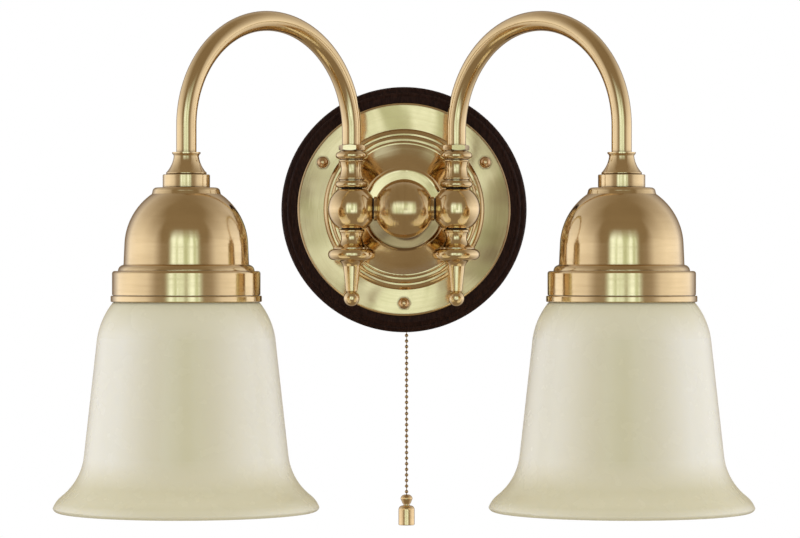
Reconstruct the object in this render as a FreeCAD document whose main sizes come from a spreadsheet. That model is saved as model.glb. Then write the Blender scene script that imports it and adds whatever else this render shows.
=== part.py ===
import FreeCAD, Part
import math
import os
import re

import Sketcher
from FreeCAD import Placement, Rotation, Vector

# Double arm wall sconce: a turned wooden plate and a stepped brass rosette carry a hub of three balls.
# From each outer ball a tube arches up, out and forward, and hangs a brass gallery with a bell of glass.
# A bead chain under the plate works the pull switch inside it.
# Frame: the wall is the plane Y = 0, the lamp reaches out along -Y, +Z is up, and the origin is the centre
# of the wooden plate's back.

# Driving sizes, in millimetres, and in degrees where the name says angle.
SIZES = {
    # Turned wooden plate
    "plate_radius": 83.3,
    "plate_thickness": 22.0,
    "plate_front_wall": 6.0,
    "plate_opening_radius": 26.0,
    "plate_recess_radius": 50.0,
    "plate_ovolo_width": 2.5,
    "plate_ovolo_height": 3.5,
    "plate_quirk": 1.2,
    "plate_bead_width": 3.2,
    "plate_bead_height": 3.2,
    "plate_step": 0.8,
    # Holes for the screws that hold the plate to the wall
    "screw_from_recess": 7.0,
    "screw_hole_radius": 2.25,
    "countersink_radius": 4.4,
    "countersink_depth": 2.3,
    # Hanger studs and cap nuts that hold the rosette to the plate
    "stud_radius": 2.5,
    "stud_backing": 1.3,
    "stud_hole_clearance": 0.2,
    "stud_reach_in_nut": 5.0,
    "cap_nut_wall": 1.45,
    "cap_nut_hex_height": 4.4,
    "cap_nut_shoulder": 0.15,
    "cap_nut_dome_height": 4.2,
    "cap_nut_dome_bulge": 1.25,
    "cap_nut_bore_room": 0.6,
    # Spun brass rosette
    "rosette_radius": 72.4,
    "rosette_wall": 1.2,
    "flange_thickness": 1.6,
    "flange_inner_radius": 54.4,
    "rim_bead_width": 1.7,
    "rim_bead_height": 2.2,
    "rim_bead_bulge": 0.45,
    "ring_width_one": 3.2,
    "ring_height_one": 2.6,
    "ring_width_two": 2.8,
    "ring_height_two": 2.2,
    "ring_width_three": 2.2,
    "ring_height_three": 1.5,
    "ring_land": 1.1,
    "ring_bulge": 0.55,
    "crown_radius": 28.6,
    "slope_height": 4.3,
    "slope_hollow": 0.7,
    "crown_step_width": 3.3,
    "crown_step": 1.6,
    "crown_step_bulge": 0.42,
    # Ten millimetre fittings: hollow nipples, studs and the holes that take them
    "nipple_radius": 5.0,
    "nipple_bore_radius": 3.5,
    "screw_clearance": 0.05,
    "hub_plate_radius": 20.0,
    "hub_plate_thickness": 2.0,
    "hub_nut_wall": 1.95,
    "hub_nut_height": 4.0,
    "hub_nut_chamfer": 0.5,
    "hub_nipple_stub": 1.5,
    "earth_screw_radius": 2.0,
    "earth_screw_place": 13.5,
    "earth_screw_head_radius": 3.6,
    "earth_screw_head_height": 2.4,
    "earth_screw_slot": 0.9,
    # Hub ball
    "hub_ball_radius": 19.9,
    "hub_neck_radius": 8.1,
    "hub_neck_length": 1.87,
    "hub_rear_face_radius": 12.4,
    "hub_cavity_radius": 7.0,
    "hub_cavity_half_length": 9.5,
    # Side balls and the dark fibre washers in their seams
    "side_ball_radius": 16.2,
    "side_face_radius": 9.75,
    "side_inner_face_radius": 8.15,
    "side_cavity_radius": 8.0,
    "side_cavity_half_height": 7.5,
    "washer_thickness": 0.9,
    "washer_radius": 7.0,
    # Turned collar above each side ball
    "collar_foot_radius": 9.0,
    "collar_foot_height": 4.7,
    "collar_foot_bulge": 2.1,
    "collar_neck_radius": 8.4,
    "collar_fillet": 0.7,
    "collar_bead_height": 1.9,
    "collar_bead_bulge": 0.75,
    "collar_waist_height": 9.9,
    "collar_waist_hollow": 0.9,
    "collar_throat_radius": 8.0,
    "collar_top_bead_height": 1.7,
    "collar_top_bead_bulge": 0.78,
    "collar_top_fillet": 0.4,
    "collar_crown_radius": 8.8,
    "collar_crown_height": 4.8,
    "collar_crown_bulge": 2.0,
    "collar_lip": 0.65,
    "tube_seat_depth": 7.4,
    # Turned finial below each side ball
    "finial_head_radius": 8.0,
    "finial_head_height": 2.2,
    "finial_head_bulge": 0.75,
    "finial_throat_radius": 7.1,
    "finial_throat_height": 3.0,
    "finial_throat_hollow": 0.15,
    "finial_flare_radius": 12.4,
    "finial_flare_height": 7.1,
    "finial_flare_hollow": 1.45,
    "finial_land": 0.7,
    "finial_ring_radius": 13.4,
    "finial_ring_height": 7.4,
    "finial_ring_bulge": 2.5,
    "finial_cove_height": 4.2,
    "finial_cove_hollow": 1.5,
    "finial_spike_radius": 5.8,
    "finial_spike_height": 16.4,
    "finial_spike_end_radius": 3.9,
    "finial_tip_neck_radius": 3.3,
    "finial_tip_radius": 5.35,
    "finial_bore_depth": 15.5,
    # Bent arm tube and its lock nut
    "tube_wall": 1.45,
    "swivel_clearance": 0.05,
    "seat_gap": 0.3,
    "arm_straight": 19.9,
    "arm_bend_radius": 70.5,
    "arm_drop": 21.4,
    "arm_forward_angle": 42.3,
    "lock_nut_wall": 1.15,
    "lock_nut_height": 3.6,
    "lock_nut_chamfer": 0.5,
    "lock_nut_turn_angle": 10.0,
    "lead_radius": 1.5,
    "lead_gap": 0.2,
    "lead_clearance": 0.3,
    "lead_bend_radius": 5.0,
    # Neck and plain ring over each gallery
    "neck_foot_radius": 12.5,
    "neck_foot_height": 1.7,
    "neck_foot_bulge": 0.5,
    "neck_throat_radius": 8.0,
    "neck_flare_height": 10.2,
    "neck_flare_hollow": 0.85,
    "neck_rim_radius": 9.1,
    "neck_rim_rise": 1.5,
    "neck_rim_height": 0.9,
    "neck_dish_radius": 8.2,
    "neck_dish_depth": 1.1,
    "neck_seat_height": 9.6,
    "ring_radius": 15.1,
    "ring_height": 8.35,
    "ring_chamfer": 0.4,
    "lamp_nipple_in_tube": 7.0,
    "lamp_nipple_in_cap": 6.6,
    # Spun brass dome
    "dome_wall": 1.0,
    "dome_top_radius": 19.4,
    "dome_shoulder_radius": 21.6,
    "dome_shoulder_height": 2.3,
    "dome_shoulder_bulge": 0.55,
    "dome_start_step": 0.5,
    "dome_start_height": 1.8,
    "dome_bulge": 4.2,
    "dome_inset": 2.75,
    "dome_arc_height": 31.7,
    "dome_skirt_height": 13.4,
    "dome_skirt_flare": 0.6,
    "dome_bead_width": 1.4,
    "dome_bead_flare": 2.1,
    "dome_bead_step": 0.6,
    "dome_bead_height": 3.2,
    "dome_bead_bulge": 0.5,
    "dome_foot_height": 0.3,
    # Gallery band that holds the glass
    "band_wall": 5.0,
    "band_edge": 1.5,
    "band_height": 15.3,
    "band_flange_thickness": 2.0,
    "band_relief": 2.6,
    "band_relief_height": 3.1,
    "band_thread_clearance": 0.15,
    "band_groove": 0.5,
    "lip_overhang": 0.9,
    "lip_height": 4.0,
    "lip_edge": 0.6,
    "lip_land": 0.5,
    "lip_mouth_height": 0.7,
    "band_chamfer_height": 4.0,
    "gasket_width": 5.0,
    "gasket_thickness": 1.3,
    # Glass bell shade
    "shade_neck_radius": 42.25,
    "shade_neck_height": 12.6,
    "shade_wall": 3.0,
    "shade_step": 4.25,
    "shade_step_height": 3.8,
    "shade_shoulder_radius": 56.9,
    "shade_shoulder_height": 23.0,
    "shade_shoulder_bulge": 1.66,
    "shade_waist_radius": 65.3,
    "shade_body_height": 75.5,
    "shade_flare_radius": 79.7,
    "shade_flare_height": 25.7,
    "shade_flare_hollow": 3.0,
    "shade_rim_radius": 85.1,
    "shade_rim_height": 7.4,
    "shade_rim_bulge": 0.64,
    "shade_lip_width": 3.4,
    "shade_lip_height": 2.4,
    "shade_lip_bulge": 0.75,
    # Lampholder
    "holder_neck_radius": 9.6,
    "holder_neck_height": 3.2,
    "holder_radius": 19.5,
    "holder_shoulder_height": 5.8,
    "holder_shoulder_bulge": 1.6,
    "holder_cap_skirt": 8.0,
    "holder_cap_wall": 1.6,
    "holder_cap_floor": 10.5,
    "holder_join_gap": 0.2,
    "holder_boss_height": 5.8,
    "holder_ring_height": 11.8,
    "holder_sleeve_step": 1.1,
    "holder_sleeve_height": 21.4,
    "holder_mouth_chamfer": 0.8,
    "holder_floor_thickness": 12.3,
    # Bulb
    "bulb_screw_radius": 13.1,
    "bulb_screw_clearance": 0.3,
    "bulb_contact_radius": 4.6,
    "bulb_contact_height": 1.2,
    "bulb_insulator_radius": 9.5,
    "bulb_insulator_height": 1.6,
    "bulb_taper_height": 2.0,
    "bulb_screw_height": 21.0,
    "bulb_cap_wall": 0.5,
    "bulb_neck_gap": 0.2,
    "bulb_neck_in_cap": 6.6,
    "bulb_neck_out": 2.4,
    "bulb_shoulder_radius": 24.0,
    "bulb_shoulder_height": 31.0,
    "bulb_shoulder_hollow": 1.6,
    "bulb_globe_radius": 30.0,
    "bulb_wall": 1.0,
    # Terminal block
    "terminal_end_wall": 0.75,
    "terminal_width": 15.0,
    "terminal_height": 12.0,
    "terminal_gap": 1.7,
    "terminal_pitch": 9.5,
    "terminal_screw_radius": 2.6,
    "terminal_screw_depth": 5.0,
    "terminal_wire_depth": 5.0,
    "lead_in_terminal": 4.5,
    "terminal_waist": 1.0,
    "terminal_waist_width": 2.4,
    # Pull switch and the channel of its chain
    "chain_side": 1.75,
    "chain_offset": 6.5,
    "channel_clearance": 0.3,
    "guide_wall": 1.8,
    "guide_clearance": 0.5,
    "guide_length": 14.0,
    "guide_mouth": 0.8,
    "switch_width": 22.0,
    "switch_height": 18.5,
    "switch_back_wall": 0.8,
    "switch_gap": 1.85,
    "switch_floor": 2.0,
    "switch_roof": 2.0,
    "switch_well_radius": 3.1,
    "switch_corner": 1.2,
    "plunger_radius": 1.5,
    "plunger_clearance": 0.08,
    "plunger_head_height": 2.5,
    "plunger_head_room": 0.8,
    "plunger_cup_wall": 0.6,
    "plunger_cup_clearance": 0.1,
    "chain_mouth_clearance": 0.35,
    "plunger_cup_lip": 0.3,
    "plunger_stop_gap": 0.3,
    "plunger_travel": 6.0,
    "spring_turns": 5.0,
    "spring_wire_radius": 0.25,
    "spring_mean_radius": 2.3,
    # Bead chain
    "bead_radius": 1.2,
    "bead_pitch": 3.8,
    "link_radius": 0.45,
    "bead_gap": 0.3,
    "pivot_below_plate": 2.3,
    "chain_beads": 30.0,
    # Pull knob and the bell that joins it to the chain
    "bell_top_radius": 1.7,
    "bell_lip": 0.6,
    "bell_cavity_clearance": 0.3,
    "bell_cavity_height": 5.0,
    "bell_swell_radius": 4.1,
    "bell_swell_height": 2.8,
    "bell_swell_bulge": 0.6,
    "bell_taper_radius": 2.7,
    "bell_taper_height": 3.4,
    "bell_neck_radius": 2.2,
    "bell_neck_height": 1.2,
    "bell_stem_radius": 1.5,
    "bell_stem_length": 5.0,
    "knob_top_radius": 2.5,
    "knob_shoulder_height": 3.2,
    "knob_shoulder_bulge": 1.0,
    "knob_radius": 5.5,
    "knob_skirt_height": 10.1,
    "knob_chamfer": 0.4,
    "knob_bore_depth": 5.6,
}

# Lengths that follow from the driving sizes.
SCREW_BORE = "(nipple_radius + screw_clearance)"
TUBE_RADIUS = f"({SCREW_BORE} + tube_wall)"
TUBE_BORE = f"({TUBE_RADIUS} + swivel_clearance)"
SCREW_CIRCLE = "(plate_recess_radius + screw_from_recess)"
STUD_CIRCLE = "((rosette_radius + flange_inner_radius) / 2)"
STUD_BORE = "(stud_radius + screw_clearance)"
CAP_NUT_FLATS = f"(2 * ({STUD_BORE} + cap_nut_wall))"
HUB_NUT_FLATS = f"(2 * ({SCREW_BORE} + hub_nut_wall))"
LOCK_NUT_FLATS = f"(2 * ({TUBE_BORE} + lock_nut_wall))"
LEAD_SPACING = "(2 * lead_radius + lead_gap)"
RECESS_FLOOR = "(plate_thickness - plate_front_wall)"
RINGS_HEIGHT = "(flange_thickness + ring_height_one + ring_height_two + ring_height_three)"
ROSETTE_HEIGHT = f"({RINGS_HEIGHT} + slope_height + crown_step)"
ROSETTE_TOP = f"(plate_thickness + {ROSETTE_HEIGHT})"
HUB_REAR_FLAT = "sqrt(hub_ball_radius^2 - hub_rear_face_radius^2)"
HUB_REACH = f"({ROSETTE_TOP} + {HUB_REAR_FLAT})"
HUB_SIDE_FLAT = "(sqrt(hub_ball_radius^2 - hub_neck_radius^2) + hub_neck_length)"
SIDE_FLAT = "sqrt(side_ball_radius^2 - side_face_radius^2)"
SIDE_INNER_FLAT = "sqrt(side_ball_radius^2 - side_inner_face_radius^2)"
KNUCKLE_SIDE = f"({HUB_SIDE_FLAT} + washer_thickness + {SIDE_INNER_FLAT})"
SEAM = f"({SIDE_FLAT} + washer_thickness)"
COLLAR_WAIST_TOP = (
    "(collar_foot_height + collar_fillet + collar_bead_height + collar_waist_height)"
)
COLLAR_HEIGHT = (
    f"({COLLAR_WAIST_TOP} + collar_top_bead_height + collar_top_fillet"
    " + collar_crown_height + collar_lip)"
)
TUBE_SEAT = f"({SEAM} + {COLLAR_HEIGHT} - tube_seat_depth)"
ARM_START = f"({TUBE_SEAT} + seat_gap)"
ARM_CENTRE = f"({ARM_START} + arm_straight)"
ARM_END = f"({ARM_CENTRE} - arm_drop)"
NECK_FOOT = f"({ARM_END} - seat_gap - neck_seat_height)"
DOME_TOP = f"({NECK_FOOT} - ring_height)"
GALLERY_SIDE = f"({KNUCKLE_SIDE} + 2 * arm_bend_radius * cos(arm_forward_angle))"
GALLERY_REACH = f"({HUB_REACH} + 2 * arm_bend_radius * sin(arm_forward_angle))"

# Radii of the gallery, from the neck of the glass outwards.
DOME_WIDE_RADIUS = "(shade_neck_radius - dome_inset)"
DOME_SKIRT_RADIUS = f"({DOME_WIDE_RADIUS} + dome_skirt_flare)"
DOME_BEAD_RADIUS = f"({DOME_SKIRT_RADIUS} + dome_bead_width + dome_bead_flare)"
BAND_THREAD = "(shade_neck_radius + band_thread_clearance)"
BAND_RADIUS = f"({BAND_THREAD} + band_wall)"
BAND_RELIEF = f"({BAND_THREAD} + band_relief)"
LIP_RADIUS = f"({BAND_RADIUS} + lip_overhang)"

# Depths below the top of the dome.
DOME_START = "(dome_shoulder_height + dome_start_height)"
DOME_WIDE = f"({DOME_START} + dome_arc_height)"
DOME_SKIRT_END = f"({DOME_WIDE} + dome_skirt_height)"
DOME_FOOT = f"({DOME_SKIRT_END} + dome_bead_step + dome_bead_height + dome_foot_height)"
BAND_END = f"({DOME_FOOT} + band_height)"
LIP_END = f"({BAND_END} + band_groove + lip_height)"
GASKET_TOP = f"({DOME_FOOT} + band_flange_thickness)"
SHADE_TOP = f"({GASKET_TOP} + gasket_thickness)"
SHADE_NECK_END = f"({SHADE_TOP} + shade_neck_height)"
SHADE_BREAK = f"({SHADE_NECK_END} + shade_step_height)"
SHADE_SHOULDER = f"({SHADE_BREAK} + shade_shoulder_height)"
SHADE_WAIST = f"({SHADE_SHOULDER} + shade_body_height)"
SHADE_FLARE = f"({SHADE_WAIST} + shade_flare_height)"
SHADE_RIM = f"({SHADE_FLARE} + shade_rim_height)"
SHADE_END = f"({SHADE_RIM} + shade_lip_height)"
HOLDER_SHOULDER = "(dome_wall + holder_neck_height + holder_shoulder_height)"
HOLDER_CAP_END = f"({HOLDER_SHOULDER} + holder_cap_skirt)"
HOLDER_RING_TOP = f"({HOLDER_CAP_END} + holder_join_gap)"
HOLDER_BOSS_TOP = f"({HOLDER_RING_TOP} - holder_boss_height)"
HOLDER_FLOOR = f"({HOLDER_BOSS_TOP} + holder_floor_thickness)"
HOLDER_RING_END = f"({HOLDER_RING_TOP} + holder_ring_height)"
HOLDER_MOUTH = f"({HOLDER_RING_END} + holder_sleeve_height)"
BULB_TIP = f"({HOLDER_FLOOR} + seat_gap)"
BULB_CAP_FLOOR = f"({BULB_TIP} + bulb_contact_height + bulb_insulator_height)"
BULB_CAP_END = f"({BULB_CAP_FLOOR} + bulb_taper_height + bulb_screw_height)"
BULB_NECK_END = f"({BULB_CAP_END} + bulb_neck_out)"
BULB_SHOULDER = f"({BULB_NECK_END} + bulb_shoulder_height)"
BULB_GLOBE = f"({BULB_SHOULDER} + sqrt(bulb_globe_radius^2 - bulb_shoulder_radius^2))"
BULB_NECK_RADIUS = "(bulb_screw_radius - bulb_cap_wall - bulb_neck_gap)"

# Drops below the hub's centre, for the terminal block, the switch and the chain.
HALF_TERMINAL = "(terminal_pitch * 3 / 2 + terminal_end_wall)"
TERMINAL_TOP = f"(sqrt(plate_recess_radius^2 - {HALF_TERMINAL}^2) - terminal_gap)"
SWITCH_DROP = (
    "(sqrt(plate_recess_radius^2 - (switch_width / 2 + chain_side)^2) - switch_gap)"
)
PLUNGER_BORE = "(plunger_radius + plunger_clearance)"
HEAD_TOP = "(switch_height - switch_roof - plunger_head_room)"
SPRING_TOP = f"({HEAD_TOP} - plunger_head_height)"
CUP_BORE = "(bead_radius + plunger_cup_clearance)"
CUP_RADIUS = f"({CUP_BORE} + plunger_cup_wall)"
CHAIN_MOUTH = "(link_radius + chain_mouth_clearance)"
CHANNEL_RADIUS = f"({CUP_RADIUS} + channel_clearance)"
STUD_INNER_END = f"(chain_offset + {CHANNEL_RADIUS} + stud_backing)"
GUIDE_BORE = "(bead_radius + guide_clearance)"
GUIDE_RADIUS = f"({GUIDE_BORE} + guide_wall)"
PIVOT_DROP = "(plate_radius + pivot_below_plate)"
LAST_BEAD_DROP = f"({PIVOT_DROP} + (floor(chain_beads) - 1) * bead_pitch)"
BELL_DROP = f"({LAST_BEAD_DROP} - bead_radius - bell_lip)"
KNOB_DROP = f"({BELL_DROP} + bell_swell_height + bell_taper_height + bell_neck_height)"

SIDES = {"left": -1, "right": 1}
CORNERS_OF_HEXAGON = 6
POINTS_PER_QUARTER = 12
FIXINGS = 3

doc = FreeCAD.newDocument("Sconce")
sheet = doc.addObject("Spreadsheet::Sheet", "Sizes")
for row, (alias, size) in enumerate(SIZES.items(), start=1):
    sheet.set(f"A{row}", alias)
    sheet.set(f"B{row}", str(size))
    sheet.setAlias(f"B{row}", alias)
doc.recompute()

sub_parts = []
cuts = []


def value(expression):
    """Number that an expression in the names of the sizes comes to."""
    return float(sheet.evalExpression(expression))


def bound(expression):
    """The same expression, as another object of the document reads it from the sheet."""
    return re.sub(
        r"[a-z][a-z_]*",
        lambda word: "Sizes." + word[0] if word[0] in SIZES else word[0],
        expression,
    )


def place(part, x="0", y="0", z="0", axis=(0, 0, 1), angle="0"):
    """Put a sub-part in the lamp's frame and tie its place to the sheet."""
    part.Placement = Placement(
        Vector(value(x), value(y), value(z)), Rotation(Vector(*axis), value(angle))
    )
    for direction, expression in zip("xyz", (x, y, z)):
        part.setExpression(f"Placement.Base.{direction}", bound(expression))
    part.setExpression("Placement.Rotation.Angle", bound(angle))


def on_wall(part, reach="0"):
    """Turn a piece whose own Z runs out from the wall, and start it at a reach from the wall."""
    place(part, y=f"-{reach}", axis=(1, 0, 0), angle="90")


def new_body(label):
    """Empty body of one sub-part."""
    body = doc.addObject("PartDesign::Body", label)
    sub_parts.append(body)
    return body


def origin_part(body, role):
    """Plane or axis of a body's own origin."""
    return next(part for part in body.Origin.OriginFeatures if part.Role == role)


def new_sketch(body, plane, name, height=None):
    """Sketch on one of the body's own planes, or at a height along that plane's normal."""
    sketch = body.newObject("Sketcher::SketchObject", name)
    sketch.AttachmentSupport = [(origin_part(body, plane), "")]
    sketch.MapMode = "FlatFace"
    if height is not None:
        sketch.setExpression("AttachmentOffset.Base.z", bound(height))
    return sketch


def constrain(sketch, wanted):
    """Add constraints, and tie to the sheet each one that comes with an expression."""
    first = sketch.ConstraintCount
    sketch.addConstraint([constraint for constraint, _ in wanted])
    for index, (_, expression) in enumerate(wanted, start=first):
        if expression is not None:
            sketch.setExpression(f"Constraints[{index}]", bound(expression))


def at_place(geometry, vertex, x, y):
    """Constraints that put one vertex at x and y from the sketch's origin."""
    wanted = []
    for kind, expression, axis in (("DistanceX", x, -2), ("DistanceY", y, -1)):
        if expression == "0":
            wanted.append(
                (Sketcher.Constraint("PointOnObject", geometry, vertex, axis), None)
            )
        else:
            number = value(expression)
            constraint = Sketcher.Constraint(kind, -1, 1, geometry, vertex, number)
            wanted.append((constraint, expression))
    return wanted


def arc_radius(start, end, kind, size):
    """Expression of an arc's radius, from its depth over the chord or as given."""
    if kind.endswith("radius"):
        return size
    chord = f"(({end[0]} - {start[0]})^2 + ({end[1]} - {start[1]})^2)"
    return f"({chord} / (8 * ({size})) + ({size}) / 2)"


def draw(sketch, corners, closed=True):
    """Outline through corners (x, y), counter-clockwise when closed.

    A corner (x, y, "swell", depth) is reached by an arc that adds material, and one with "hollow" by an
    arc that takes it away. With "swell radius" or "hollow radius" the size is the arc's own radius.
    """
    points = [Vector(value(corner[0]), value(corner[1]), 0) for corner in corners]
    following = list(range(1, len(corners))) + ([0] if closed else [])
    edges = []
    radii = []
    for start, end in enumerate(following):
        bend = corners[end][2:] if end else ()
        if bend:
            radius = arc_radius(corners[start], corners[end], *bend)
            chord = points[end] - points[start]
            size = value(radius)
            depth = size - math.sqrt(size**2 - chord.Length**2 / 4)
            side = 1 if bend[0].startswith("swell") else -1
            normal = Vector(chord.y, -chord.x, 0).normalize()
            middle = (points[start] + points[end]) / 2 + normal * side * depth
            edge = sketch.addGeometry(Part.Arc(points[start], middle, points[end]))
            radii.append((Sketcher.Constraint("Radius", edge, size), radius))
        else:
            edge = sketch.addGeometry(Part.LineSegment(points[start], points[end]))
        forward = sketch.getPoint(edge, 1).distanceToPoint(
            points[start]
        ) < sketch.getPoint(edge, 2).distanceToPoint(points[start])
        edges.append((edge, 1, 2) if forward else (edge, 2, 1))
    joints = [
        (Sketcher.Constraint("Coincident", edge, end, after, start), None)
        for (edge, _, end), (after, start, _) in zip(
            edges, edges[1:] + (edges[:1] if closed else [])
        )
    ]
    vertices = [(edge, start) for edge, start, _ in edges]
    if not closed:
        vertices.append((edges[-1][0], edges[-1][2]))
    places = []
    for (edge, vertex), corner in zip(vertices, corners):
        places += at_place(edge, vertex, corner[0], corner[1])
    constrain(sketch, joints + places + radii)


def draw_circle(sketch, x, y, radius):
    """Circle with its centre at x and y."""
    circle = sketch.addGeometry(
        Part.Circle(Vector(value(x), value(y), 0), Vector(0, 0, 1), value(radius))
    )
    size = (Sketcher.Constraint("Radius", circle, value(radius)), radius)
    constrain(sketch, [size] + at_place(circle, 3, x, y))


def draw_box(sketch, left, right, low, high):
    """Rectangle between two x and two y."""
    draw(sketch, [(left, low), (right, low), (right, high), (left, high)])


def hexagon(flats, x="0", y="0"):
    """Corners of a hexagon by its width across flats, about a centre."""
    corners = []
    for corner in range(CORNERS_OF_HEXAGON):
        angle = corner * 360 // CORNERS_OF_HEXAGON
        corners.append(
            (
                f"({flats} / sqrt(3) * cos({angle}) + {x})",
                f"({flats} / sqrt(3) * sin({angle}) + {y})",
            )
        )
    return corners


def revolve(body, name, corners, plane="XZ_Plane"):
    """Turn an outline of radius and height about the body's vertical axis."""
    sketch = new_sketch(body, plane, f"{name}_outline")
    draw(sketch, corners)
    feature = body.newObject("PartDesign::Revolution", name)
    feature.Profile = sketch
    feature.ReferenceAxis = (sketch, ["V_Axis"])
    feature.Angle = 360
    return feature


def turned(label, corners):
    """Sub-part made on a lathe."""
    body = new_body(label)
    revolve(body, f"{label}_turning", corners)
    return body


def pad(body, name, sketch, length):
    """Block raised from a sketch, along the sketch's normal."""
    feature = body.newObject("PartDesign::Pad", name)
    feature.Profile = sketch
    feature.setExpression("Length", bound(length))
    return feature


def pocket(body, name, sketch, length, forwards=False):
    """Cut from a sketch against its normal, or along it when forwards."""
    feature = body.newObject("PartDesign::Pocket", name)
    feature.Profile = sketch
    feature.setExpression("Length", bound(length))
    feature.Reversed = forwards
    cuts.append(feature)
    return feature


def groove(body, name, corners):
    """Cut turned about the body's vertical axis."""
    sketch = new_sketch(body, "XZ_Plane", f"{name}_outline")
    draw(sketch, corners)
    feature = body.newObject("PartDesign::Groove", name)
    feature.Profile = sketch
    feature.ReferenceAxis = (sketch, ["V_Axis"])
    feature.Angle = 360
    cuts.append(feature)
    return feature


def around(body, name, features, count):
    """Repeat features evenly about the body's vertical axis."""
    pattern = body.newObject("PartDesign::PolarPattern", name)
    pattern.Originals = features
    pattern.Axis = (origin_part(body, "Z_Axis"), [""])
    pattern.Angle = 360
    pattern.Occurrences = count
    body.Tip = pattern
    return pattern


def in_line(body, name, features, axis, spacing, count):
    """Repeat features at an even spacing along one of the body's axes."""
    pattern = body.newObject("PartDesign::LinearPattern", name)
    pattern.Originals = features
    pattern.Direction = (origin_part(body, axis), [""])
    pattern.Length = value(f"{spacing} * ({count} - 1)")
    pattern.setExpression("Length", bound(f"{spacing} * ({count} - 1)"))
    pattern.Occurrences = count
    body.Tip = pattern
    return pattern


def make_plate():
    """Turned wooden plate, hollow behind, with its screw, stud and chain holes."""
    bead_top = "(plate_thickness - plate_step)"
    ovolo_top = f"({bead_top} - plate_bead_height)"
    side_top = f"({ovolo_top} - plate_ovolo_height)"
    ovolo_radius = "(plate_radius - plate_ovolo_width)"
    bead_radius = f"({ovolo_radius} - plate_quirk)"
    face_radius = f"({bead_radius} - plate_bead_width)"
    body = turned(
        "back_plate",
        [
            ("plate_recess_radius", "0"),
            ("plate_radius", "0"),
            ("plate_radius", side_top),
            (ovolo_radius, ovolo_top, "swell", "plate_ovolo_width / 4"),
            (bead_radius, ovolo_top),
            (face_radius, bead_top, "swell", "plate_bead_width / 4"),
            (face_radius, "plate_thickness"),
            ("plate_opening_radius", "plate_thickness"),
            ("plate_opening_radius", RECESS_FLOOR),
            ("plate_recess_radius", RECESS_FLOOR),
        ],
    )
    screw = new_sketch(body, "XY_Plane", "screw_place", "plate_thickness")
    draw_circle(screw, "0", SCREW_CIRCLE, "screw_hole_radius")
    screw_hole = pocket(body, "screw_hole", screw, "plate_thickness")
    around(body, "screw_holes", [screw_hole], FIXINGS)
    sink = body.newObject("PartDesign::SubtractiveCone", "countersink")
    sink.AttachmentSupport = [(origin_part(body, "XY_Plane"), "")]
    sink.MapMode = "FlatFace"
    sink.setExpression("Radius1", bound("screw_hole_radius"))
    sink.setExpression("Radius2", bound("countersink_radius"))
    sink.setExpression("Height", bound("countersink_depth"))
    sink.setExpression("AttachmentOffset.Base.y", bound(SCREW_CIRCLE))
    sink.setExpression(
        "AttachmentOffset.Base.z", bound("plate_thickness - countersink_depth")
    )
    cuts.append(sink)
    around(body, "countersinks", [sink], FIXINGS)
    stud = new_sketch(body, "XY_Plane", "stud_place", "plate_thickness")
    draw_circle(stud, "0", f"-{STUD_CIRCLE}", STUD_BORE)
    stud_depth = f"plate_thickness - {STUD_INNER_END} + screw_clearance"
    stud_hole = pocket(body, "stud_hole", stud, stud_depth)
    around(body, "stud_holes", [stud_hole], FIXINGS)
    channel = new_sketch(body, "XZ_Plane", "channel_place")
    draw_circle(channel, "chain_side", "chain_offset", CHANNEL_RADIUS)
    pocket(body, "chain_channel", channel, "plate_radius", forwards=True)
    seat = new_sketch(body, "XZ_Plane", "guide_place", "plate_radius - guide_length")
    draw_circle(seat, "chain_side", "chain_offset", f"{GUIDE_RADIUS} + screw_clearance")
    pocket(body, "guide_seat", seat, "guide_length", forwards=True)
    on_wall(body)


def make_rosette():
    """Spun brass rosette: beaded rim, flat flange, three stepped rings, slope, round step and flat crown."""
    one = "(flange_inner_radius - ring_width_one)"
    two_start = f"({one} - ring_land)"
    two = f"({two_start} - ring_width_two)"
    three_start = f"({two} - ring_land)"
    three = f"({three_start} - ring_width_three)"
    level_one = "(flange_thickness + ring_height_one)"
    level_two = f"({level_one} + ring_height_two)"
    slope_top = f"({RINGS_HEIGHT} + slope_height)"
    crown_edge = "(crown_radius - crown_step_width)"
    body = turned(
        "rosette",
        [
            (one, "0"),
            ("rosette_radius", "0"),
            (
                "(rosette_radius - rim_bead_width)",
                "rim_bead_height",
                "swell",
                "rim_bead_bulge",
            ),
            ("(rosette_radius - rim_bead_width)", "flange_thickness"),
            ("flange_inner_radius", "flange_thickness"),
            (one, level_one, "swell", "ring_bulge"),
            (two_start, level_one),
            (two, level_two, "swell", "ring_bulge"),
            (three_start, level_two),
            (three, RINGS_HEIGHT, "swell", "ring_bulge"),
            ("crown_radius", slope_top, "hollow", "slope_hollow"),
            (crown_edge, ROSETTE_HEIGHT, "swell", "crown_step_bulge"),
            (SCREW_BORE, ROSETTE_HEIGHT),
            (SCREW_BORE, f"({ROSETTE_HEIGHT} - rosette_wall)"),
            (crown_edge, f"({ROSETTE_HEIGHT} - rosette_wall)"),
            ("crown_radius", f"({slope_top} - rosette_wall)"),
            (three, f"({RINGS_HEIGHT} - rosette_wall)", "swell", "slope_hollow"),
            (two, f"({level_two} - rosette_wall)"),
        ],
    )
    stud = new_sketch(body, "XY_Plane", "stud_place", "flange_thickness")
    draw_circle(stud, "0", f"-{STUD_CIRCLE}", "stud_radius + stud_hole_clearance")
    hole = pocket(body, "stud_hole", stud, "flange_thickness")
    around(body, "stud_holes", [hole], FIXINGS)
    on_wall(body, "plate_thickness")


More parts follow.
